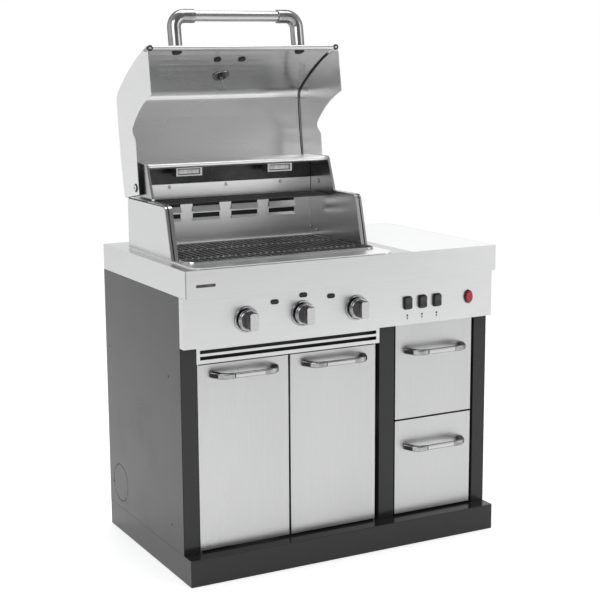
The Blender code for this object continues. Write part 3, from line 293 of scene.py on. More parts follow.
def round_edges(piece, radius, steps=2, angle=30):
    """Rounds every edge sharper than angle, as folding or a file does."""
    easing = piece.modifiers.new("easing", "BEVEL")
    easing.width = radius
    easing.segments = steps
    easing.limit_method = "ANGLE"
    easing.angle_limit = math.radians(angle)
    easing.harden_normals = False
    pick(piece)
    bpy.ops.object.modifier_apply(modifier=easing.name)


def fit(piece, body, material):
    """Finishes a piece: its material, smooth shading where it curves, and the body that it rides on."""
    piece.data.materials.clear()
    piece.data.materials.append(material)
    pick(piece)
    bpy.ops.object.shade_smooth_by_angle(angle=math.radians(35))
    flats = piece.modifiers.new("flats", "WEIGHTED_NORMAL")
    flats.keep_sharp = True
    flats.weight = 100
    bpy.ops.object.modifier_apply(modifier=flats.name)
    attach(piece, body)
    return piece


def folded(node, radius, material, steps=2):
    """The sheet part of a CAD node with its folds and edges rounded."""
    source = frame["nodes"][node]
    piece = bpy.data.objects.new(node + "_sheet", source.data.copy())
    scene.collection.objects.link(piece)
    pick(piece)
    bpy.ops.mesh.customdata_custom_splitnormals_clear()
    bpy.ops.object.mode_set(mode="EDIT")
    bpy.ops.mesh.select_all(action="SELECT")
    bpy.ops.mesh.remove_doubles(threshold=0.00001)
    bpy.ops.mesh.dissolve_limited(angle_limit=math.radians(0.5))
    bpy.ops.object.mode_set(mode="OBJECT")
    round_edges(piece, radius, steps)
    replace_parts(piece, node)
    return fit(piece, source["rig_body"], material)


graphite = new_finish("graphite_paint", (0.016, 0.016, 0.017), 0.0, 0.22,
                      {"Specular IOR Level": 0.24, "Coat Weight": 0.12, "Coat Roughness": 0.10})
vary_colour(graphite, 900, (0.011, 0.011, 0.012), (0.024, 0.024, 0.025))
vary_roughness(graphite, 7, 0.14, 0.28)
bump(graphite, 320, 0.10, 0.0004, 1)

finish_node(graphite, "cabinet_floor", "bay_divider")
for node in ("plinth_front", "plinth_left", "plinth_rear", "plinth_right", "left_post", "right_post"):
    folded(node, 0.0012, graphite)

dark_screw = new_finish("blackened_screw", (0.03, 0.03, 0.032), 0.7, 0.38)
vary_roughness(dark_screw, 500, 0.30, 0.48)

PORT_BACK, PORT_HEIGHT = 0.497, 0.161
PORT_RADIUS = 0.0595
BRIDGE = 0.003
PANEL_SCREWS = ((0.083, 0.150), (0.087, 0.593), (0.560, 0.150), (0.560, 0.593))
SCREW_SLOT = (0.0006, 0.0028)
for side, sign in (("left", -1), ("right", 1)):
    low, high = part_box(side + "_side_panel")
    panel = block(side + "_side_sheet", low, high)
    outer = low.x if sign < 0 else high.x
    port = Vector((outer, low.y + PORT_BACK, PORT_HEIGHT))
    depth = Vector((0.01, 0, 0))
    ring = rod("cutter", port - depth, port + depth, PORT_RADIUS + 0.001, 64)
    cut(ring, rod("cutter", port - depth * 2, port + depth * 2, PORT_RADIUS - 0.001, 64))
    for turn in (90, 210, 330):
        bridge = port + Vector((0, math.cos(math.radians(turn)), math.sin(math.radians(turn)))) * PORT_RADIUS
        half = Vector((0.03, BRIDGE, BRIDGE))
        cut(ring, block("cutter", bridge - half, bridge + half))
    cut(panel, ring)
    for number, (back, height) in enumerate(PANEL_SCREWS, 1):
        centre = Vector((outer, low.y + back, height))
        outwards = Vector((sign, 0, 0))
        tip = centre - outwards * 0.0012
        cut(panel, rod("cutter", centre + outwards * 0.001, tip, 0.0045))
        head = rod(f"{side}_panel_screw_{number}", centre - outwards * 0.0001, tip, 0.0042)
        narrow, wide = SCREW_SLOT
        for half in (Vector((narrow, wide, narrow)), Vector((narrow, narrow, wide))):
            cut(head, block("cutter", centre - half, centre + half))
        round_edges(head, 0.0003, 1)
        fit(head, "cabinet", dark_screw)
    round_edges(panel, 0.0003, 1)
    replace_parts(panel, side + "_side_panel")
    fit(panel, "cabinet", graphite)


# ---------------------------------------------------------------- counter, control panel and fronts
# The counter, its side shelf, the control panel, the louvre and the door and drawer fronts are stainless sheet
# with a brushed grain: across on the wide pieces, upright on the doors. The side shelf's steel is made much
# lighter than the rest: painted light, as its upward face would catch it. The folds have a small radius that
# catches the light. A black liner behind the louvre shows through its gaps.
def brushed_steel(name, along, tone, rough=0.30):
    """Brushed stainless whose fine lines run along one axis, with slow cloudy changes in its shine."""
    material = new_finish(name, (tone, tone, tone), 1.0, rough)
    fine = [1100, 1100, 1100]
    fine[along] = 9
    broad = [3.0, 3.0, 3.0]
    broad[along] = 1.1
    vary_colour(material, fine, (tone * 0.97,) * 3, (tone * 1.03,) * 3, 2)
    vary_roughness(material, broad, rough - 0.04, rough + 0.06, 2)
    bump(material, fine, 0.08, 0.00010, 2)
    return material


steel_across = brushed_steel("stainless_grain_across", 0, 0.58)
steel_upright = brushed_steel("stainless_grain_upright", 2, 0.47)
# The shelf's steel is far lighter than the counter's: painted light standing in for its bright upward face.
shelf_steel_painted_light = brushed_steel("stainless_shelf_painted_light", 1, 0.92, 0.34)

for node in ("control_panel", "louvre_panel"):
    folded(node, 0.0006, steel_across)
folded("countertop", 0.0012, steel_across)
folded("side_shelf", 0.0012, shelf_steel_painted_light)
for node in ("door_left", "door_right", "drawer_front_lower", "drawer_front_upper"):
    folded(node, 0.0012, steel_upright)

black_liner = new_finish("black_liner", (0.012, 0.012, 0.013), 0.0, 0.6)
vary_roughness(black_liner, 200, 0.5, 0.7)
bump(black_liner, 900, 0.2, 0.0002)
louvre_low, louvre_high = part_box("louvre_panel")
liner = block("louvre_liner", (louvre_low.x + 0.004, louvre_high.y - 0.0008, louvre_low.z + 0.004),
              (louvre_high.x - 0.004, louvre_high.y - 0.0002, louvre_high.z - 0.003))
round_edges(liner, 0.0001, 1)
fit(liner, "cabinet", black_liner)


# ---------------------------------------------------------------- pulls
# Each door and drawer has the same pull: a polished rounded bar held between two cast elbows that lean in
# towards it, screwed to the front through the elbows' feet. The joint between bar and elbow shows as a fine
# line, and each elbow's outer side has a dark screw socket.
def shift_points(piece, chosen, by):
    """Moves the points of a piece whose places pass a test."""
    pick(piece)
    bpy.ops.object.mode_set(mode="EDIT")
    bpy.ops.mesh.select_mode(type="VERT")
    bpy.ops.mesh.select_all(action="DESELECT")
    bpy.ops.object.mode_set(mode="OBJECT")
    for vertex in piece.data.vertices:
        vertex.select = chosen(vertex.co)
    bpy.ops.object.mode_set(mode="EDIT")
    bpy.ops.transform.translate(value=by)
    bpy.ops.object.mode_set(mode="OBJECT")


def round_corners(piece, radius, axis, steps=5, depth=None):
    """Rounds the edges that run along one axis (0, 1 or 2), or only those of them at one depth."""
    pick(piece)
    bpy.ops.object.mode_set(mode="EDIT")
    bpy.ops.mesh.select_mode(type="EDGE")
    bpy.ops.mesh.select_all(action="DESELECT")
    bpy.ops.object.mode_set(mode="OBJECT")
    for edge in piece.data.edges:
        first, second = (piece.data.vertices[i].co for i in edge.vertices)
        run = second - first
        off = 0 if depth is None else max(abs(first.y - depth), abs(second.y - depth))
        edge.select = off < 1e-5 and abs(run[axis]) > 0.9 * run.length
    bpy.ops.object.mode_set(mode="EDIT")
    bpy.ops.mesh.bevel(offset=radius, segments=steps, profile=0.5)
    bpy.ops.object.mode_set(mode="OBJECT")


def another(piece, name, shift, body, instead_of=None):
    """A copy of a finished piece, with a mesh of its own, moved along."""
    twin = piece.copy()
    twin.data = piece.data.copy()
    twin.name = name
    twin.parent = None
    scene.collection.objects.link(twin)
    twin.matrix_world.translation = Vector(shift)
    settle(twin)
    if instead_of:
        twin["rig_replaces"] = []
        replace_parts(twin, instead_of)
    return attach(twin, body)


polished = new_finish("polished_stainless", (0.46, 0.46, 0.46), 1.0, 0.14,
                      {"Specular Tint": (0.35, 0.35, 0.35, 1)})
vary_roughness(polished, 60, 0.10, 0.20)
bump(polished, 700, 0.05, 0.0001, 1)
cast = new_finish("cast_elbow", (0.30, 0.30, 0.305), 1.0, 0.20, {"Specular Tint": (0.25, 0.25, 0.25, 1)})
vary_colour(cast, 40, (0.22, 0.22, 0.225), (0.38, 0.38, 0.385))
vary_roughness(cast, 110, 0.14, 0.30)
bump(cast, 420, 0.10, 0.0003, 2)

ELBOW = 0.063
LEAN = 0.020
BAR_THICKNESS = 0.012
FOOT_WIDTH = 0.019
SOCKET_DEPTH = 0.0012
pull_low, pull_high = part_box("door_pull_left")
pull_middle = (pull_low.x + pull_high.x) / 2
bar_back = pull_low.y + BAR_THICKNESS
socket_front, socket_back = pull_low.y + 0.017, pull_high.y - 0.006


def pull_block(name, ends, front, back, edges):
    """Stock between two depths, set in from the pull's ends and from its upper and lower edges."""
    return block(name, (pull_low.x + ends, front, pull_low.z + edges),
                 (pull_high.x - ends, back, pull_high.z - edges))


def lean_in(piece, *depths):
    """Moves the points at some depths towards the pull's middle, further in where they stand further out."""
    for y in depths:
        inwards = LEAN * (pull_high.y - y) / (pull_high.y - pull_low.y)
        for side in (-1, 1):
            shift_points(piece, lambda place: abs(place.y - y) < 1e-5 and (place.x - pull_middle) * side > 0,
                         (-side * inwards, 0, 0))


arm = block("door_pull_left_elbows", pull_low, pull_high)
lean_in(arm, pull_low.y)
round_corners(arm, 0.024, 2, depth=pull_low.y)
gap = pull_block("cutter", FOOT_WIDTH, bar_back, pull_high.y + 0.01, -0.01)
lean_in(gap, bar_back)
round_corners(gap, 0.016, 2, depth=bar_back)
cut(arm, gap, pull_block("cutter", ELBOW, pull_low.y - 0.01, pull_high.y + 0.01, -0.01))
pockets = pull_block("cutter", SOCKET_DEPTH, socket_front, socket_back, 0.0035)
lean_in(pockets, socket_front, socket_back)
pocket_ring = pull_block("cutter", -0.03, socket_front - 0.002, socket_back + 0.002, 0.0034)
cut(pocket_ring, pockets)
round_edges(arm, 0.0045, 4, 40)
cut(arm, pocket_ring)
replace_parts(arm, "door_pull_left")
fit(arm, "left_door", cast)
sockets = pull_block("door_pull_left_sockets", 0.0006, socket_front + 0.0002, socket_back - 0.0002, 0.0037)
lean_in(sockets, socket_front + 0.0002, socket_back - 0.0002)
between = pull_block("cutter", 0.0013, socket_front - 0.01, socket_back + 0.01, 0)
lean_in(between, socket_front - 0.01, socket_back + 0.01)
cut(sockets, between)
fit(sockets, "left_door", dark_screw)
bar = pull_block("door_pull_left_bar", ELBOW + 0.0006, pull_low.y + 0.0005, bar_back - 0.0005, 0.0007)
round_corners(bar, 0.0045, 0, 4)
fit(bar, "left_door", polished)
tenon = pull_block("door_pull_left_tenon", ELBOW - 0.004, pull_low.y + 0.003, bar_back - 0.003, 0.004)
round_edges(tenon, 0.001, 1)
fit(tenon, "left_door", dark_screw)
for node, body in (("door_pull_right", "right_door"), ("drawer_pull_upper", "upper_drawer"),
                   ("drawer_pull_lower", "lower_drawer")):
    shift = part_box(node)[0] - pull_low
    another(arm, node + "_elbows", shift, body, node)
    another(bar, node + "_bar", shift, body)
    another(sockets, node + "_sockets", shift, body)
    another(tenon, node + "_tenon", shift, body)

# ---------------------------------------------------------------- drawer boxes, runners and rear panel
# The drawer boxes, grease tray and rear panel are zinc-coated sheet with a soft spangle. Each drawer rides on a
# pair of steel channel runners: the outer channel is screwed to the cabinet, the inner one to the box. Nine
# pan-head screws hold the rear panel.
zinc = new_finish("zinc_steel", (0.42, 0.43, 0.44), 1.0, 0.42)
vary_colour(zinc, 90, (0.39, 0.40, 0.41), (0.45, 0.46, 0.47), 1)
vary_roughness(zinc, 25, 0.38, 0.46)
finish_node(zinc, "rear_panel", "grease_tray", "drawer_box_lower", "drawer_box_upper")

# Distances of a channel's web and groove from the box's wall, gaps before and behind, half height, and lip.
INNER_CHANNEL = ((0.0004, 0.0048), (0.0018, 0.0060), (0.004, 0.030), 0.012, 0.003)
OUTER_CHANNEL = ((0.0055, 0.0110), (0.0040, 0.0098), (0.006, 0.010), 0.020, 0.002)
for level in ("upper", "lower"):
    low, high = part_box("drawer_box_" + level)
    middle = (low.z + high.z) / 2
    for side, wall, sign in (("left", low.x, -1), ("right", high.x, 1)):
        for name, body, channel in ((f"{level}_drawer_runner_{side}", level + "_drawer", INNER_CHANNEL),
                                    (f"cabinet_runner_{level}_{side}", "cabinet", OUTER_CHANNEL)):
            web, groove, (before, behind), half, lip = channel
            near, far = sorted(wall + sign * away for away in web)
            runner = block(name, (near, low.y + before, middle - half), (far, high.y - behind, middle + half))
            near, far = sorted(wall + sign * away for away in groove)
            cut(runner, block("cutter", (near, low.y - 0.01, middle - half + lip),
                              (far, high.y + 0.01, middle + half - lip)))
            round_edges(runner, 0.0004, 1)
            fit(runner, body, zinc)

rear_low, rear_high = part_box("rear_panel")
rear_screw = new_finish("zinc_screw", (0.36, 0.36, 0.37), 1.0, 0.32)
vary_roughness(rear_screw, 500, 0.24, 0.42)
columns = (rear_low.x + 0.018, 0, rear_high.x - 0.018)
rows = (rear_low.z + 0.020, (rear_low.z + rear_high.z) / 2, rear_high.z - 0.020)
rear_head = rod("rear_screw_1", (columns[0], rear_high.y - 0.0014, rows[0]),
                (columns[0], rear_high.y - 0.0001, rows[0]), 0.0046, 20)
round_edges(rear_head, 0.0005)
fit(rear_head, "cabinet", rear_screw)
places = [(x, z) for z in rows for x in columns]
for number, (x, z) in enumerate(places[1:], 2):
    another(rear_head, f"rear_screw_{number}", (x - columns[0], 0, z - rows[0]), "cabinet")

# ---------------------------------------------------------------- firebox
# The firebox is folded from heavier stainless: two double side walls with turned-out front edges, a back wall
# with two rows of scooped air slots, and a rolled rim round the grates. Behind the slots is a black baffle, and
# a black seam runs along the top of each double wall.
fire_steel = brushed_steel("firebox_steel_upright", 2, 0.60, 0.24)
fire_steel_inner = brushed_steel("firebox_steel_inner", 2, 0.40, 0.20)
fire_steel_across = brushed_steel("firebox_steel_across", 0, 0.90, 0.32)
for side in ("left", "right"):
    folded("firebox_skin_" + side, 0.0006, fire_steel)
    folded("firebox_side_" + side, 0.0006, fire_steel_inner)
folded("firebox_tub", 0.0006, fire_steel_across)

bolt_steel = new_finish("plated_bolt", (0.62, 0.62, 0.61), 1.0, 0.22)
vary_colour(bolt_steel, 300, (0.50, 0.50, 0.49), (0.68, 0.68, 0.67))
vary_roughness(bolt_steel, 400, 0.16, 0.34)


def bolt(name, place, facing, radius, height, body):
    """A pan-head bolt with a hexagon socket, standing on a face that looks the way of facing."""
    facing = Vector(facing).normalized()
    head = rod(name, Vector(place), Vector(place) + facing * height, radius)
    round_edges(head, height * 0.45, 3, 50)
    tip = Vector(place) + facing * (height + 0.001)
    cut(head, rod("cutter", Vector(place) + facing * height * 0.4, tip, radius * 0.42, 6))
    return fit(head, body, bolt_steel)


back_low, back_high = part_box("firebox_back")
wall = block("firebox_back_wall", back_low, back_high)
SLOT = 0.092
SLOT_PITCH = 0.133
SLOT_ROWS = ((0.996, 0.014, 0.009), (1.032, 0.015, 0.017))
first_slot = (back_low.x + back_high.x) / 2 - 1.5 * SLOT_PITCH - SLOT / 2
for bottom, tall, drop in SLOT_ROWS:
    for i in range(4):
        x = first_slot + i * SLOT_PITCH
        cut(wall, block("cutter", (x, back_low.y - 0.01, bottom),
                        (x + SLOT, back_high.y + 0.01, bottom + tall)))
round_edges(wall, 0.0003, 1)
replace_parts(wall, "firebox_back")
fit(wall, "cabinet", fire_steel_across)
for row, (bottom, tall, drop) in enumerate(SLOT_ROWS, 1):
    scoop = block(f"slot_scoop_{row}_1", (first_slot, back_low.y - 0.0012, bottom - drop),
                  (first_slot + SLOT, back_low.y - 0.0002, bottom + 0.0005))
    shift_points(scoop, lambda place: place.z < bottom - drop / 2, (0, -drop * 0.55, 0))
    round_edges(scoop, 0.0004)
    fit(scoop, "cabinet", fire_steel_across)
    for i in range(1, 4):
        another(scoop, f"slot_scoop_{row}_{i + 1}", (i * SLOT_PITCH, 0, 0), "cabinet")
baffle = block("slot_baffle", (back_low.x + 0.02, back_high.y + 0.0004, 0.985),
               (back_high.x - 0.02, back_high.y + 0.0012, 1.055))
round_edges(baffle, 0.0002, 1)
fit(baffle, "cabinet", black_liner)


def piping(name, points, radius, cyclic=False, sides=8):
    """Round wire or beading along a line of points."""
    line = bpy.data.curves.new(name, "CURVE")
    line.dimensions = "3D"
    line.bevel_depth = radius
    line.bevel_resolution = sides // 2 - 2
    line.use_fill_caps = True
    spline = line.splines.new("POLY")
    spline.points.add(len(points) - 1)
    for point, place in zip(spline.points, points):
        point.co = (*place, 1)
    spline.use_cyclic_u = cyclic
    piece = bpy.data.objects.new(name, line)
    scene.collection.objects.link(piece)
    pick(piece)
    bpy.ops.object.convert(target="MESH")
    bpy.ops.object.mode_set(mode="EDIT")
    bpy.ops.mesh.select_all(action="SELECT")
    bpy.ops.mesh.remove_doubles(threshold=0.00001)
    bpy.ops.mesh.normals_make_consistent(inside=False)
    bpy.ops.object.mode_set(mode="OBJECT")
    return bpy.context.object


def bend(centre, radius, start, end, steps, height):
    """Points round a level bend, from one bearing to another in degrees."""
    bearings = [math.radians(start + (end - start) * i / steps) for i in range(steps + 1)]
    return [(centre[0] + radius * math.cos(t), centre[1] + radius * math.sin(t), height) for t in bearings]


side_low, side_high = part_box("firebox_side_left")
far_low, far_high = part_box("firebox_side_right")
BEAD = 0.0035
BEAD_BEND = 0.028
bead_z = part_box("firebox_tub")[1].z + BEAD * 0.7
left, right = side_high.x - 0.004, far_low.x + 0.004
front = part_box("cooking_grate_1")[0].y - 0.008
bead_line = [(left, side_low.y - 0.002, bead_z)]
bead_line += bend((left + BEAD_BEND, front + BEAD_BEND), BEAD_BEND, 180, 270, 8, bead_z)
bead_line += bend((right - BEAD_BEND, front + BEAD_BEND), BEAD_BEND, 270, 360, 8, bead_z)
bead_line += [(right, side_low.y - 0.002, bead_z)]
fit(piping("firebox_rim_bead", bead_line, BEAD), "cabinet", polished)

for side, x, sign in (("left", side_low.x, 1), ("right", far_high.x, -1)):
    skin_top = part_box("firebox_skin_" + side)[1].z
    near, far = sorted((x + sign * 0.0016, x + sign * 0.0022))
    seam = block(f"firebox_seam_{side}", (near, side_low.y + 0.045, skin_top - 0.004),
                 (far, side_high.y - 0.004, skin_top + 0.0038))
    round_edges(seam, 0.0001, 1)
    fit(seam, "cabinet", black_liner)
for number, (y, z) in enumerate(((0.190, 0.944), (0.150, 0.937)), 1):
    bolt(f"firebox_wall_bolt_{number}", (far_low.x, y, z), (-1, 0, 0), 0.0045, 0.003, "cabinet")
BOLT_ROW = 1.096
bolt("riser_bolt_right", (far_low.x, 0.141, BOLT_ROW), (-1, 0, 0), 0.007, 0.004, "cabinet")
bolt("riser_bolt_left", (side_high.x, 0.141, BOLT_ROW), (1, 0, 0), 0.007, 0.004, "cabinet")

# ---------------------------------------------------------------- hood and lamps
# A folded hood closes the top of the firebox at the back. Under it, on a near-black panel that is painted
# shade, sit two lamps in polished frames. A near-black sheet under the hood is painted shade too, and a bright
# strip below the lamps is held by three bolts.
# Near-black steel with a slow cloudy tone: painted shade on the lamp panel and the hood's underside.
hood_painted_shade = new_finish("painted_shade_dark_steel", (0.035, 0.035, 0.036), 0.6, 0.22)
vary_colour(hood_painted_shade, 9, (0.022, 0.022, 0.023), (0.060, 0.060, 0.060))
vary_roughness(hood_painted_shade, 30, 0.16, 0.34)
bump(hood_painted_shade, 500, 0.06, 0.0002)
folded("hood", 0.0003, fire_steel_across, steps=1)
hood_low, hood_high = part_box("hood")
hood_left, hood_right = hood_low.x + 0.0006, hood_high.x - 0.0006
for name, front, back, bottom, top, ease, steps, material in (
    # The lamp panel and the hood's underside are near-black sheets of painted shade.
    ("lamp_panel", hood_high.y - 0.0042, hood_high.y - 0.0016, 1.106, 1.172, 0.0004, 1, hood_painted_shade),
    ("hood_underside", hood_low.y + 0.018, hood_high.y - 0.005, 1.1735, 1.1748, 0.0003, 1, hood_painted_shade),
    ("bolt_strip", hood_high.y - 0.0052, hood_high.y - 0.0016, 1.0635, 1.1055, 0.0008, 2, fire_steel_across),
):
    sheet = block(name, (hood_left, front, bottom), (hood_right, back, top))
    round_edges(sheet, ease, steps)
    fit(sheet, "cabinet", material)
for number, x in enumerate((-0.354, -0.162, 0.030), 1):
    bolt(f"strip_bolt_{number}", (x, hood_high.y - 0.0052, BOLT_ROW), (0, -1, 0), 0.0052, 0.0035, "cabinet")

glass = new_finish("lamp_glass", (0.75, 0.75, 0.74), 0.0, 0.2, {"Coat Weight": 1.0})
vary_colour(glass, (160, 10, 10), (0.55, 0.55, 0.54), (0.82, 0.82, 0.80), 1)
vary_roughness(glass, 120, 0.15, 0.32)
LAMP_BOTTOM = 1.134
for side in ("left", "right"):
    low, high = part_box("firebox_lamp_" + side)
    shell = block(f"lamp_frame_{side}", (low.x - 0.003, low.y + 0.001, LAMP_BOTTOM),
                  (high.x + 0.003, high.y, high.z))
    cut(shell, block("cutter", (low.x + 0.004, low.y - 0.009, LAMP_BOTTOM + 0.006),
                     (high.x - 0.004, low.y + 0.007, LAMP_BOTTOM + 0.022)))
    round_edges(shell, 0.0014)
    fit(shell, "cabinet", polished)
    pane = block(f"lamp_pane_{side}", (low.x + 0.0055, low.y + 0.0035, LAMP_BOTTOM + 0.0075),
                 (high.x - 0.0055, low.y + 0.0068, LAMP_BOTTOM + 0.0205))
    round_edges(pane, 0.001)
    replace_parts(pane, "firebox_lamp_" + side)
    fit(pane, "cabinet", glass)


# ---------------------------------------------------------------- warming rack
# The rack is a frame of round rod with rounded corners. Thin wires are welded across it from front to back, on
# two cross wires, and the whole is porcelain enamelled in one dip.
def join(piece, extra):
    """Makes another shape part of the piece."""
    pick(piece)
    extra.select_set(True)
    bpy.ops.object.join()


enamel = new_finish("enamelled_iron", (0.03, 0.03, 0.032), 0.0, 0.35)
vary_colour(enamel, 600, (0.024, 0.024, 0.026), (0.055, 0.055, 0.057))
vary_roughness(enamel, 40, 0.28, 0.50)
bump(enamel, 260, 0.22, 0.0005, 2)
rack_low, rack_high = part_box("warming_rack")
WIRE = 0.0015
WIRES = 58
RACK_BEND = 0.008
rail = (rack_high.z - rack_low.z) / 2
level = (rack_low.z + rack_high.z) / 2
left, right = rack_low.x + rail, rack_high.x - rail
front, back = rack_low.y + rail, rack_high.y - rail
outline = []
for x, y, start in ((left + RACK_BEND, front + RACK_BEND, 180), (right - RACK_BEND, front + RACK_BEND, 270),
                    (right - RACK_BEND, back - RACK_BEND, 0), (left + RACK_BEND, back - RACK_BEND, 90)):
    outline += bend((x, y), RACK_BEND, start, start + 90, 4, level)
rack = piping("warming_rack_wires", outline, rail, True)
for i in range(WIRES):
    x = rack_low.x + 0.012 + i * (rack_high.x - rack_low.x - 0.024) / (WIRES - 1)
    join(rack, rod("wire", (x, front, level), (x, back, level), WIRE, 6))
for share in (0.33, 0.66):
    y = rack_low.y + (rack_high.y - rack_low.y) * share
    join(rack, rod("wire", (left, y, level - WIRE), (right, y, level - WIRE), WIRE, 6))
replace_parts(rack, "warming_rack")
fit(rack, "cabinet", enamel)

# ---------------------------------------------------------------- grates, heat plates and burners
# Three grates of cast iron, matt enamelled, lie side by side on the tub's ledge. Their ribs run front to back,
# joined by cross bars. Rows of small light studs on the bars are painted highlights, standing in for the glints
# on the ribs' ends. Below them are folded heat plates and tube burners of dull stainless.
# Light metal for the grate studs, which are painted highlights where the ribs catch the light.
highlight_stud_steel = new_finish("painted_highlight_stud", (0.42, 0.42, 0.42), 0.8, 0.35)
vary_roughness(highlight_stud_steel, 500, 0.25, 0.45)
RIBS = 10
OPENINGS = ((0.014, 0.086), (0.098, 0.246), (0.258, 0.366))
CROSS_BARS = (0.092, 0.252)
for number in (1, 2, 3):
    low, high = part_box(f"cooking_grate_{number}")
    pitch = (high.x - low.x) / RIBS
    grate = block(f"grate_{number}_casting", low, high)
    ribs = [low.x + pitch * (i + 0.5) for i in range(RIBS)]
    for x in ribs:
        cut(grate, block("cutter", (x - pitch * 0.24, low.y + 0.012, low.z - 0.01),
                         (x + pitch * 0.24, high.y - 0.012, high.z - 0.0025)))
    for x in ribs:
        for start, end in OPENINGS:
            cut(grate, block("cutter", (x - pitch * 0.17, low.y + start, low.z - 0.01),
                             (x + pitch * 0.17, low.y + end, high.z + 0.01)))
    round_edges(grate, 0.0007, 1)
    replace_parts(grate, f"cooking_grate_{number}")
    fit(grate, "cabinet", enamel)
    # Each row of studs is a painted highlight along a cross bar.
    for row, back in enumerate(CROSS_BARS, 1):
        highlight_studs = rod(f"grate_{number}_studs_{row}", (ribs[0], low.y + back, high.z - 0.002),
                    (ribs[0], low.y + back, high.z + 0.0009), 0.0030, 12)
        round_edges(highlight_studs, 0.0008, 1)
        one_highlight_stud = highlight_studs.data.copy()
        for i in range(1, RIBS):
            twin = bpy.data.objects.new("stud", one_highlight_stud.copy())
            scene.collection.objects.link(twin)
            twin.location.x = pitch * i
            settle(twin)
            join(highlight_studs, twin)
        fit(highlight_studs, "cabinet", highlight_stud_steel)

dull_steel = new_finish("heat_dulled_steel", (0.42, 0.41, 0.40), 1.0, 0.42)
vary_colour(dull_steel, 14, (0.30, 0.27, 0.25), (0.52, 0.52, 0.52), 4)
vary_roughness(dull_steel, 60, 0.32, 0.55)
finish_node(dull_steel, "gas_manifold", "burner_1", "burner_2", "burner_3")
for number in (1, 2, 3):
    folded(f"heat_plate_{number}", 0.0005, dull_steel, 1)

# ---------------------------------------------------------------- burner knobs and their bezels
# Each knob is a die-cast, chromed body: a stepped round skirt and a straight grip with a satin face and a
# pointer line. It turns in front of a dished chrome bezel that is fixed to the panel.
chrome = new_finish("chrome", (0.40, 0.40, 0.41), 1.0, 0.10, {"Specular Tint": (0.3, 0.3, 0.3, 1)})
vary_colour(chrome, 35, (0.33, 0.33, 0.34), (0.46, 0.46, 0.47))
vary_roughness(chrome, 90, 0.06, 0.15)
dark_chrome = new_finish("dark_chrome", (0.08, 0.075, 0.078), 1.0, 0.12)
vary_colour(dark_chrome, 70, (0.05, 0.045, 0.048), (0.12, 0.11, 0.11))
vary_roughness(dark_chrome, 110, 0.08, 0.20)
satin = new_finish("satin_cast_face", (0.52, 0.52, 0.52), 0.9, 0.42)
vary_colour(satin, (60, 60, 900), (0.46, 0.46, 0.46), (0.58, 0.58, 0.58), 2)
vary_roughness(satin, 200, 0.36, 0.50)
bump(satin, 1200, 0.08, 0.0001)

panel_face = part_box("control_panel")[0].y
knob_low, knob_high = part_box("burner_knob_1")
axis = (knob_low + knob_high) / 2


def knob_disc(name, back, front, radius, sides=64):
    """Round stock on the knob's axis, between two depths."""
    return rod(name, (axis.x, back, axis.z), (axis.x, front, axis.z), radius, sides)


def knob_block(name, half_width, front, back, bottom, top):
    """Stock centred on the knob's axis in width, its bottom and top measured from the axis."""
    return block(name, (axis.x - half_width, front, axis.z + bottom),
                 (axis.x + half_width, back, axis.z + top))


bezel = knob_disc("knob_bezel_1", panel_face - 0.0004, panel_face - 0.0048, 0.0380)
cut(bezel, knob_disc("cutter", panel_face + 0.01, panel_face - 0.02, 0.0120, 32),
    knob_disc("cutter", panel_face - 0.0028, panel_face - 0.02, 0.0335))
round_edges(bezel, 0.0011, 3)
fit(bezel, "cabinet", chrome)

skirt_back, skirt_front = knob_high.y, knob_high.y - 0.0100
skirt = knob_disc("knob_1_skirt", skirt_back, skirt_front, 0.0310)
combine(skirt, "UNION", knob_disc("step", skirt_front + 0.001, skirt_front - 0.0045, 0.0265))
cut(skirt, knob_disc("cutter", skirt_back + 0.01, skirt_back - 0.008, 0.0100, 24))
round_edges(skirt, 0.0014, 3)
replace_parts(skirt, "burner_knob_1")
fit(skirt, "knob_1", chrome)

HALF_GRIP = 0.0135
HALF_GRIP_HEIGHT = 0.0250
grip = knob_block("knob_1_grip", HALF_GRIP, knob_low.y + 0.0012, skirt_front - 0.0044,
                  -HALF_GRIP_HEIGHT, HALF_GRIP_HEIGHT)
round_corners(grip, 0.006, 1, 4)
round_edges(grip, 0.0012)
fit(grip, "knob_1", dark_chrome)
face = knob_block("knob_1_face", HALF_GRIP - 0.0008, knob_low.y, knob_low.y + 0.0011,
                  -HALF_GRIP_HEIGHT + 0.0008, HALF_GRIP_HEIGHT - 0.0008)
round_corners(face, 0.0052, 1, 4)
cut(face, knob_block("cutter", 0.0008, knob_low.y - 0.001, knob_low.y + 0.0005, 0.008, 0.021))
round_edges(face, 0.0003, 1)
fit(face, "knob_1", satin)
for number in (2, 3):
    node, body = f"burner_knob_{number}", f"knob_{number}"
    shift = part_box(node)[0] - knob_low
    another(bezel, f"knob_bezel_{number}", shift, "cabinet")
    another(skirt, body + "_skirt", shift, body, node)
    another(grip, body + "_grip", shift, body)
    another(face, body + "_face", shift, body)

# ---------------------------------------------------------------- light windows, buttons and igniter
# Above the knobs three smoked windows show that a burner is lit. The light buttons and the igniter button are
# moulded caps in fixed surrounds, black for the lights and red for the igniter. Plain dots and strokes are
# printed under the buttons, and the counter's front edge has a blank name plate and a thin dark strip down its
# left corner.
black = new_finish("black_plastic", (0.014, 0.014, 0.015), 0.0, 0.30)
vary_colour(black, 700, (0.010, 0.010, 0.011), (0.022, 0.022, 0.023))
vary_roughness(black, 300, 0.22, 0.38)
bump(black, 1500, 0.10, 0.0001)
smoked = new_finish("smoked_window", (0.018, 0.018, 0.020), 0.0, 0.08, {"Specular IOR Level": 0.25})
vary_roughness(smoked, 150, 0.05, 0.14)
red = new_finish("red_plastic", (0.30, 0.008, 0.020), 0.0, 0.28)
vary_colour(red, 500, (0.24, 0.006, 0.016), (0.36, 0.012, 0.026))
vary_roughness(red, 300, 0.20, 0.36)

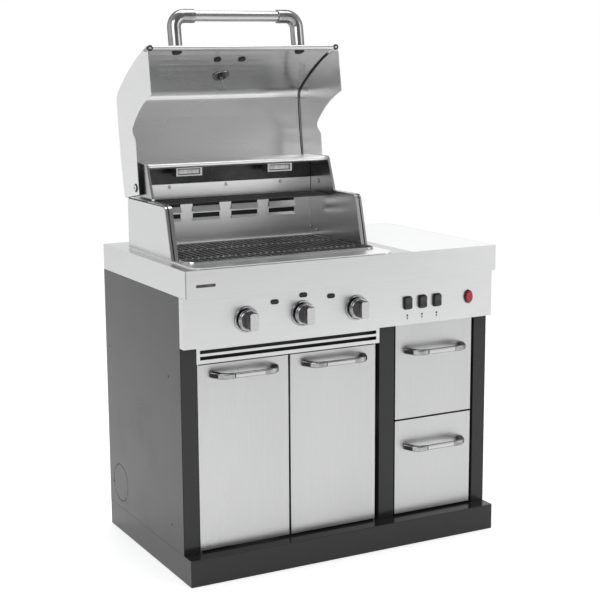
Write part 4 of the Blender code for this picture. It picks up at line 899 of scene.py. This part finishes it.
window = block("light_window_1", (-0.250, panel_face - 0.0016, 0.79475),
               (-0.224, panel_face - 0.0003, 0.80925))
round_corners(window, 0.0068, 1, 6)
round_edges(window, 0.0004)
fit(window, "cabinet", smoked)
another(window, "light_window_2", (0.093, 0, 0.012), "cabinet")
another(window, "light_window_3", (0.185, 0, 0.001), "cabinet")

button_low, button_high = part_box("light_button_1")
button_centre = (button_low + button_high) / 2


def button_block(name, growth, front, back, radius):
    """Stock round the first button, larger than it by growth on each side, with round corners."""
    piece = block(name, (button_low.x - growth, front, button_low.z - growth),
                  (button_high.x + growth, back, button_high.z + growth))
    round_corners(piece, radius, 1)
    return piece


surround = button_block("button_surround_1", 0.0030, panel_face - 0.0035, panel_face - 0.0003, 0.0070)
cut(surround, button_block("cutter", 0.0008, panel_face - 0.01, panel_face + 0.01, 0.0050))
round_edges(surround, 0.0006)
fit(surround, "cabinet", black)
cap = button_block("light_button_1_cap", 0, button_low.y, panel_face - 0.0004, 0.0045)
round_edges(cap, 0.0012, 3)
dish_depth = button_low.y - 0.0370
cut(cap, rod("cutter", (button_centre.x - 0.03, dish_depth, button_centre.z),
             (button_centre.x + 0.03, dish_depth, button_centre.z), 0.0385, 96))
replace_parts(cap, "light_button_1")
fit(cap, "button_1", black)
for number in (2, 3):
    node = f"light_button_{number}"
    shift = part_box(node)[0] - button_low
    another(surround, f"button_surround_{number}", shift, "cabinet")
    another(cap, node + "_cap", shift, f"button_{number}", node)

igniter_low, igniter_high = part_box("igniter_button")
igniter_size = igniter_high - igniter_low
igniter_centre = (igniter_low + igniter_high) / 2


def oval(name, back, front, growth):
    """A round bar along the igniter's axis, drawn taller into the button's oval."""
    width = igniter_size.x / 2 + growth
    piece = rod(name, (igniter_centre.x, back, igniter_centre.z), (igniter_centre.x, front, igniter_centre.z),
                width, 48)
    pick(piece)
    bpy.ops.object.mode_set(mode="EDIT")
    bpy.ops.mesh.select_all(action="SELECT")
    taller = (igniter_size.z / 2 + growth) / width
    bpy.ops.transform.resize(value=(1, 1, taller), center_override=igniter_centre)
    bpy.ops.object.mode_set(mode="OBJECT")
    return piece


igniter_surround = oval("igniter_surround", panel_face - 0.0003, panel_face - 0.0042, 0.003)
cut(igniter_surround, oval("cutter", panel_face + 0.01, panel_face - 0.02, 0.0007))
round_edges(igniter_surround, 0.0008)
fit(igniter_surround, "cabinet", black)
igniter = oval("igniter_cap", panel_face - 0.0004, igniter_low.y, 0)
round_edges(igniter, 0.0022, 4)
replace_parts(igniter, "igniter_button")
fit(igniter, "igniter", red)

INK = (panel_face - 0.0004, panel_face - 0.0002)
BUTTON_PITCH = 0.0525
for number in (1, 2, 3):
    x = button_centre.x + (number - 1) * BUTTON_PITCH
    dot = rod(f"printed_dot_{number}", (x, INK[1], 0.7190), (x, INK[0], 0.7190), 0.0032, 20)
    stroke = block(f"printed_stroke_{number}", (x - 0.0022, INK[0], 0.7080), (x + 0.0022, INK[1], 0.7130))
    for mark in (dot, stroke):
        round_edges(mark, 0.00005, 1)
        fit(mark, "cabinet", black)
counter_low, counter_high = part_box("countertop")
plate = block("blank_name_plate", (counter_low.x + 0.033, counter_low.y - 0.0005, 0.8660),
              (counter_low.x + 0.093, counter_low.y - 0.0002, 0.8745))
round_corners(plate, 0.0040, 1)
round_edges(plate, 0.0001, 1)
fit(plate, "cabinet", dark_chrome)
# A thin dark strip down the front of the counter's left corner.
seam = block("counter_corner_dark_strip", (counter_low.x + 0.0022, counter_low.y - 0.0003, counter_low.z + 0.001),
             (counter_low.x + 0.0036, counter_low.y - 0.0001, counter_high.z - 0.002))
round_edges(seam, 0.00005, 1)
fit(seam, "cabinet", dark_screw)

# ---------------------------------------------------------------- lid
# The lid is one sheet, brushed across, folded over two side panels and rolled into a hem at its lower edge. A
# black heat-proof cord seals each joint between sheet and side. Rubber feet in the hem's ends meet the
# counter. It turns on a shoulder bolt at each side.
hinge = next(j for j in frame["joints"] if j["name"] == "lid_hinge")
hinge_place = Vector(hinge["pos_m"])
swing = -math.radians(hinge["range_deg"][1])


def opened(x, y, z):
    """Where a point of the closed lid comes to when the lid is open, as it stands at rest."""
    back, up = y - hinge_place.y, z - hinge_place.z
    return Vector((x, hinge_place.y + back * math.cos(swing) - up * math.sin(swing),
                   hinge_place.z + back * math.sin(swing) + up * math.cos(swing)))


lid_steel = brushed_steel("lid_stainless_across", 0, 0.66, 0.24)
lid_side_steel = brushed_steel("lid_stainless_side", 1, 0.70)
seal = new_finish("black_seal", (0.012, 0.012, 0.012), 0.0, 0.65)
vary_colour(seal, 900, (0.008, 0.008, 0.008), (0.022, 0.022, 0.022))
vary_roughness(seal, 400, 0.55, 0.78)
bump(seal, 1600, 0.3, 0.0003)
skin = frame["nodes"]["lid_skin"]
finish_node(lid_steel, "lid_skin")
for side in ("left", "right"):
    folded("lid_side_" + side, 0.0004, lid_side_steel, steps=1)

SEAL = 0.0017
SEAL_END = 0.018
skin_low, skin_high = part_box("lid_skin")
lid_middle = opened(0, hinge_place.y - 0.160, hinge_place.z + 0.010)
for side, x in (("left", skin_low.x + 0.0022), ("right", skin_high.x - 0.0022)):
    cord_line = []
    for turn in range(-50, 134, 3):
        way = Vector((0, math.cos(math.radians(turn - 20)), math.sin(math.radians(turn - 20))))
        hit, place, normal, index = skin.ray_cast(Vector((x, lid_middle.y, lid_middle.z)), way)
        if hit and place.z < skin_high.z - SEAL_END:
            cord_line.append(place + normal * math.copysign(0.0011, -normal.dot(way)))
    fit(piping(f"lid_seal_{side}", cord_line, SEAL), "lid", seal)

hem_y, hem_z = -0.24080, 0.93175
for side, x in (("left", skin_low.x + 0.0075), ("right", skin_high.x - 0.0075)):
    foot = rod(f"lid_foot_{side}", opened(x, hem_y, hem_z - 0.0010), opened(x, hem_y, hem_z - 0.0085),
               0.0088, 32)
    cut(foot, rod("cutter", opened(x, hem_y, hem_z - 0.006), opened(x, hem_y, hem_z - 0.02), 0.0048))
    round_edges(foot, 0.0012, 3)
    fit(foot, "lid", seal)
    bolt(f"lid_foot_screw_{side}", opened(x, hem_y, hem_z - 0.0058),
         opened(x, hem_y, hem_z - 1) - opened(x, hem_y, hem_z), 0.0042, 0.0018, "lid")


def on_skin(x, y, z, inside=True):
    """The nearest point of the lid's sheet to a point of the closed lid, and the way its face looks."""
    start = opened(x, y, z)
    core = Vector((x, lid_middle.y, lid_middle.z))
    towards = (start - core).normalized()
    origin, way = (core, towards) if inside else (start + towards * 0.1, -towards)
    hit, place, normal, index = skin.ray_cast(origin, way)
    return place, normal


for name, x, y, z, radius, height in (("handle_fixing_left", -0.367, -0.2280, 0.980, 0.0150, 0.0045),
                                      ("handle_fixing_right", 0.043, -0.2280, 0.980, 0.0150, 0.0045),
                                      ("badge_fixing_left", -0.212, -0.2100, 1.033, 0.0115, 0.0040),
                                      ("badge_fixing_right", -0.130, -0.2100, 1.033, 0.0115, 0.0040)):
    place, facing = on_skin(x, y, z)
    stud = rod(name, place + facing * 0.0002, place + facing * height, radius, 32)
    round_edges(stud, height * 0.35, 3)
    fit(stud, "lid", seal)

place, facing = on_skin(-0.171, -0.2100, 1.033, inside=False)
badge = block("lid_badge", (-0.055, -0.012, 0), (0.055, 0.012, 0.002))
round_corners(badge, 0.011, 2, 6)
round_edges(badge, 0.0006)
badge.location = place + facing * 0.0003
badge.rotation_euler = facing.to_track_quat("Z", "Y").to_euler()
settle(badge)
fit(badge, "lid", polished)

for side, x, sign in (("left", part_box("lid_side_left")[0].x, -1),
                      ("right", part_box("lid_side_right")[1].x, 1)):
    bolt(f"hinge_bolt_{side}", (x, hinge_place.y, hinge_place.z), (sign, 0, 0), 0.0088, 0.0060, "lid")
    washer = rod(f"hinge_washer_{side}", (x + sign * 0.0001, hinge_place.y, hinge_place.z),
                 (x + sign * 0.0012, hinge_place.y, hinge_place.z), 0.0130, 32)
    round_edges(washer, 0.0004)
    fit(washer, "lid", seal)

# ---------------------------------------------------------------- thermometer
# A bimetal dial gauge stands on the lid's front. Its threaded neck goes through the sheet to a flanged chrome
# nut inside, from which the probe reaches into the heat. The dial has plain ticks and a needle.
NECK_X = -0.163
BORE = 0.0068
neck_place, neck_facing = on_skin(-0.130, -0.1810, 1.120)
neck_place.x = NECK_X
for name, near, far, bore_end, radius, sides, ease, steps, material in (
    ("thermometer_flange", 0.0003, 0.0040, 0.02, 0.0270, 48, 0.0016, 3, chrome),
    ("thermometer_nut", 0.0042, 0.0105, 0.03, 0.0135, 6, 0.0010, 2, dark_chrome),
):
    ring = rod(name, neck_place + neck_facing * near, neck_place + neck_facing * far, radius, sides)
    cut(ring, rod("cutter", neck_place - neck_facing * 0.01, neck_place + neck_facing * bore_end, BORE))
    round_edges(ring, ease, steps)
    fit(ring, "lid", material)
finish_node(chrome, "lid_thermometer")

dial_white = new_finish("dial_card", (0.80, 0.80, 0.79), 0.0, 0.45)
vary_colour(dial_white, 800, (0.74, 0.74, 0.73), (0.84, 0.84, 0.83))
vary_roughness(dial_white, 300, 0.38, 0.52)
dial_axis = -neck_facing
dial_face = neck_place + dial_axis * 0.01305
card = rod("dial_card", dial_face, dial_face + dial_axis * 0.0004, 0.0285, 48)
round_edges(card, 0.0001, 1)
fit(card, "lid", dial_white)
dial_right = Vector((1, 0, 0))
dial_up = dial_axis.cross(dial_right)


def on_dial(name, turn, inner, outer, width, lift, material):
    """A flat mark or needle on the dial, from one radius to another, turned from straight up."""
    way = dial_up * math.cos(math.radians(turn)) + dial_right * math.sin(math.radians(turn))
    mark = block(name, (-width / 2, inner, 0), (width / 2, outer, 0.0003))
    round_edges(mark, 0.00005, 1)
    turned = Matrix((way.cross(dial_axis), way, dial_axis)).transposed().to_4x4()
    mark.matrix_world = Matrix.Translation(dial_face + dial_axis * lift) @ turned
    settle(mark)
    fit(mark, "lid", material)


for number in range(11):
    on_dial(f"dial_tick_{number + 1}", -125 + number * 25, 0.0215, 0.0265, 0.0009, 0.0005, black)
on_dial("dial_needle", -125, -0.005, 0.0205, 0.0014, 0.0009, red)
hub = rod("dial_hub", dial_face + dial_axis * 0.0013, dial_face + dial_axis * 0.0023, 0.0026, 20)
round_edges(hub, 0.0004)
fit(hub, "lid", black)

# ---------------------------------------------------------------- lid handle
# A brushed tube grip is held between two cast, chromed elbows, whose legs stand on round flanges and are bolted
# through the lid. A collar covers each joint between grip and elbow.
handle_chrome = new_finish("handle_chrome", (0.32, 0.32, 0.325), 1.0, 0.20,
                           {"Specular Tint": (0.25, 0.25, 0.25, 1)})
vary_colour(handle_chrome, 30, (0.27, 0.27, 0.275), (0.37, 0.37, 0.375))
vary_roughness(handle_chrome, 80, 0.10, 0.20)
grip_steel = brushed_steel("handle_grip_steel", 0, 0.46, 0.22)
bar_low, bar_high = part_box("lid_handle_bar")
bar_centre = (bar_low + bar_high) / 2
grip_tube = rod("lid_handle_grip", (bar_low.x - 0.0001, bar_centre.y, bar_centre.z),
                (bar_high.x + 0.0001, bar_centre.y, bar_centre.z), (bar_high.z - bar_low.z) / 2, 48)
round_edges(grip_tube, 0.0008)
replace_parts(grip_tube, "lid_handle_bar")
fit(grip_tube, "lid", grip_steel)
LEG_RADIUS = 0.0205
BEND = 0.034
BEND_STEPS = 10
leg_way = (opened(0, 1, 0) - opened(0, 0, 0)).normalized()
for side, sign in (("left", -1), ("right", 1)):
    node = "lid_handle_elbow_" + side
    low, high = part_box(node)
    leg_x = low.x + LEG_RADIUS + 0.0005 if sign < 0 else high.x - LEG_RADIUS - 0.0005
    joint_x = bar_low.x - 0.0003 if sign < 0 else bar_high.x + 0.0003
    top = Vector((leg_x, bar_centre.y, bar_centre.z))
    hit, seat, seat_facing, index = skin.ray_cast(top, leg_way)
    line = [seat - leg_way * 0.002]
    for i in range(BEND_STEPS + 1):
        t = math.radians(90 * i / BEND_STEPS)
        across = Vector((-sign * (BEND - BEND * math.cos(t)), 0, 0))
        line.append(top + leg_way * (BEND - BEND * math.sin(t)) + across)
    line.append(Vector((joint_x, top.y, top.z)))
    elbow = piping(f"lid_elbow_{side}", line, LEG_RADIUS, False, 32)
    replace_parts(elbow, node)
    collar = rod(f"lid_elbow_collar_{side}", (joint_x - sign * 0.0002, top.y, top.z),
                 (joint_x + sign * 0.0120, top.y, top.z), LEG_RADIUS + 0.0002, 48)
    rose = rod(f"lid_handle_rose_{side}", seat + seat_facing * 0.0003, seat + seat_facing * 0.0050,
               0.0260, 48)
    for piece, ease, steps, angle in ((elbow, 0.0010, 2, 60), (collar, 0.0012, 3, 30), (rose, 0.0018, 3, 30)):
        round_edges(piece, ease, steps, angle)
        fit(piece, "lid", handle_chrome)
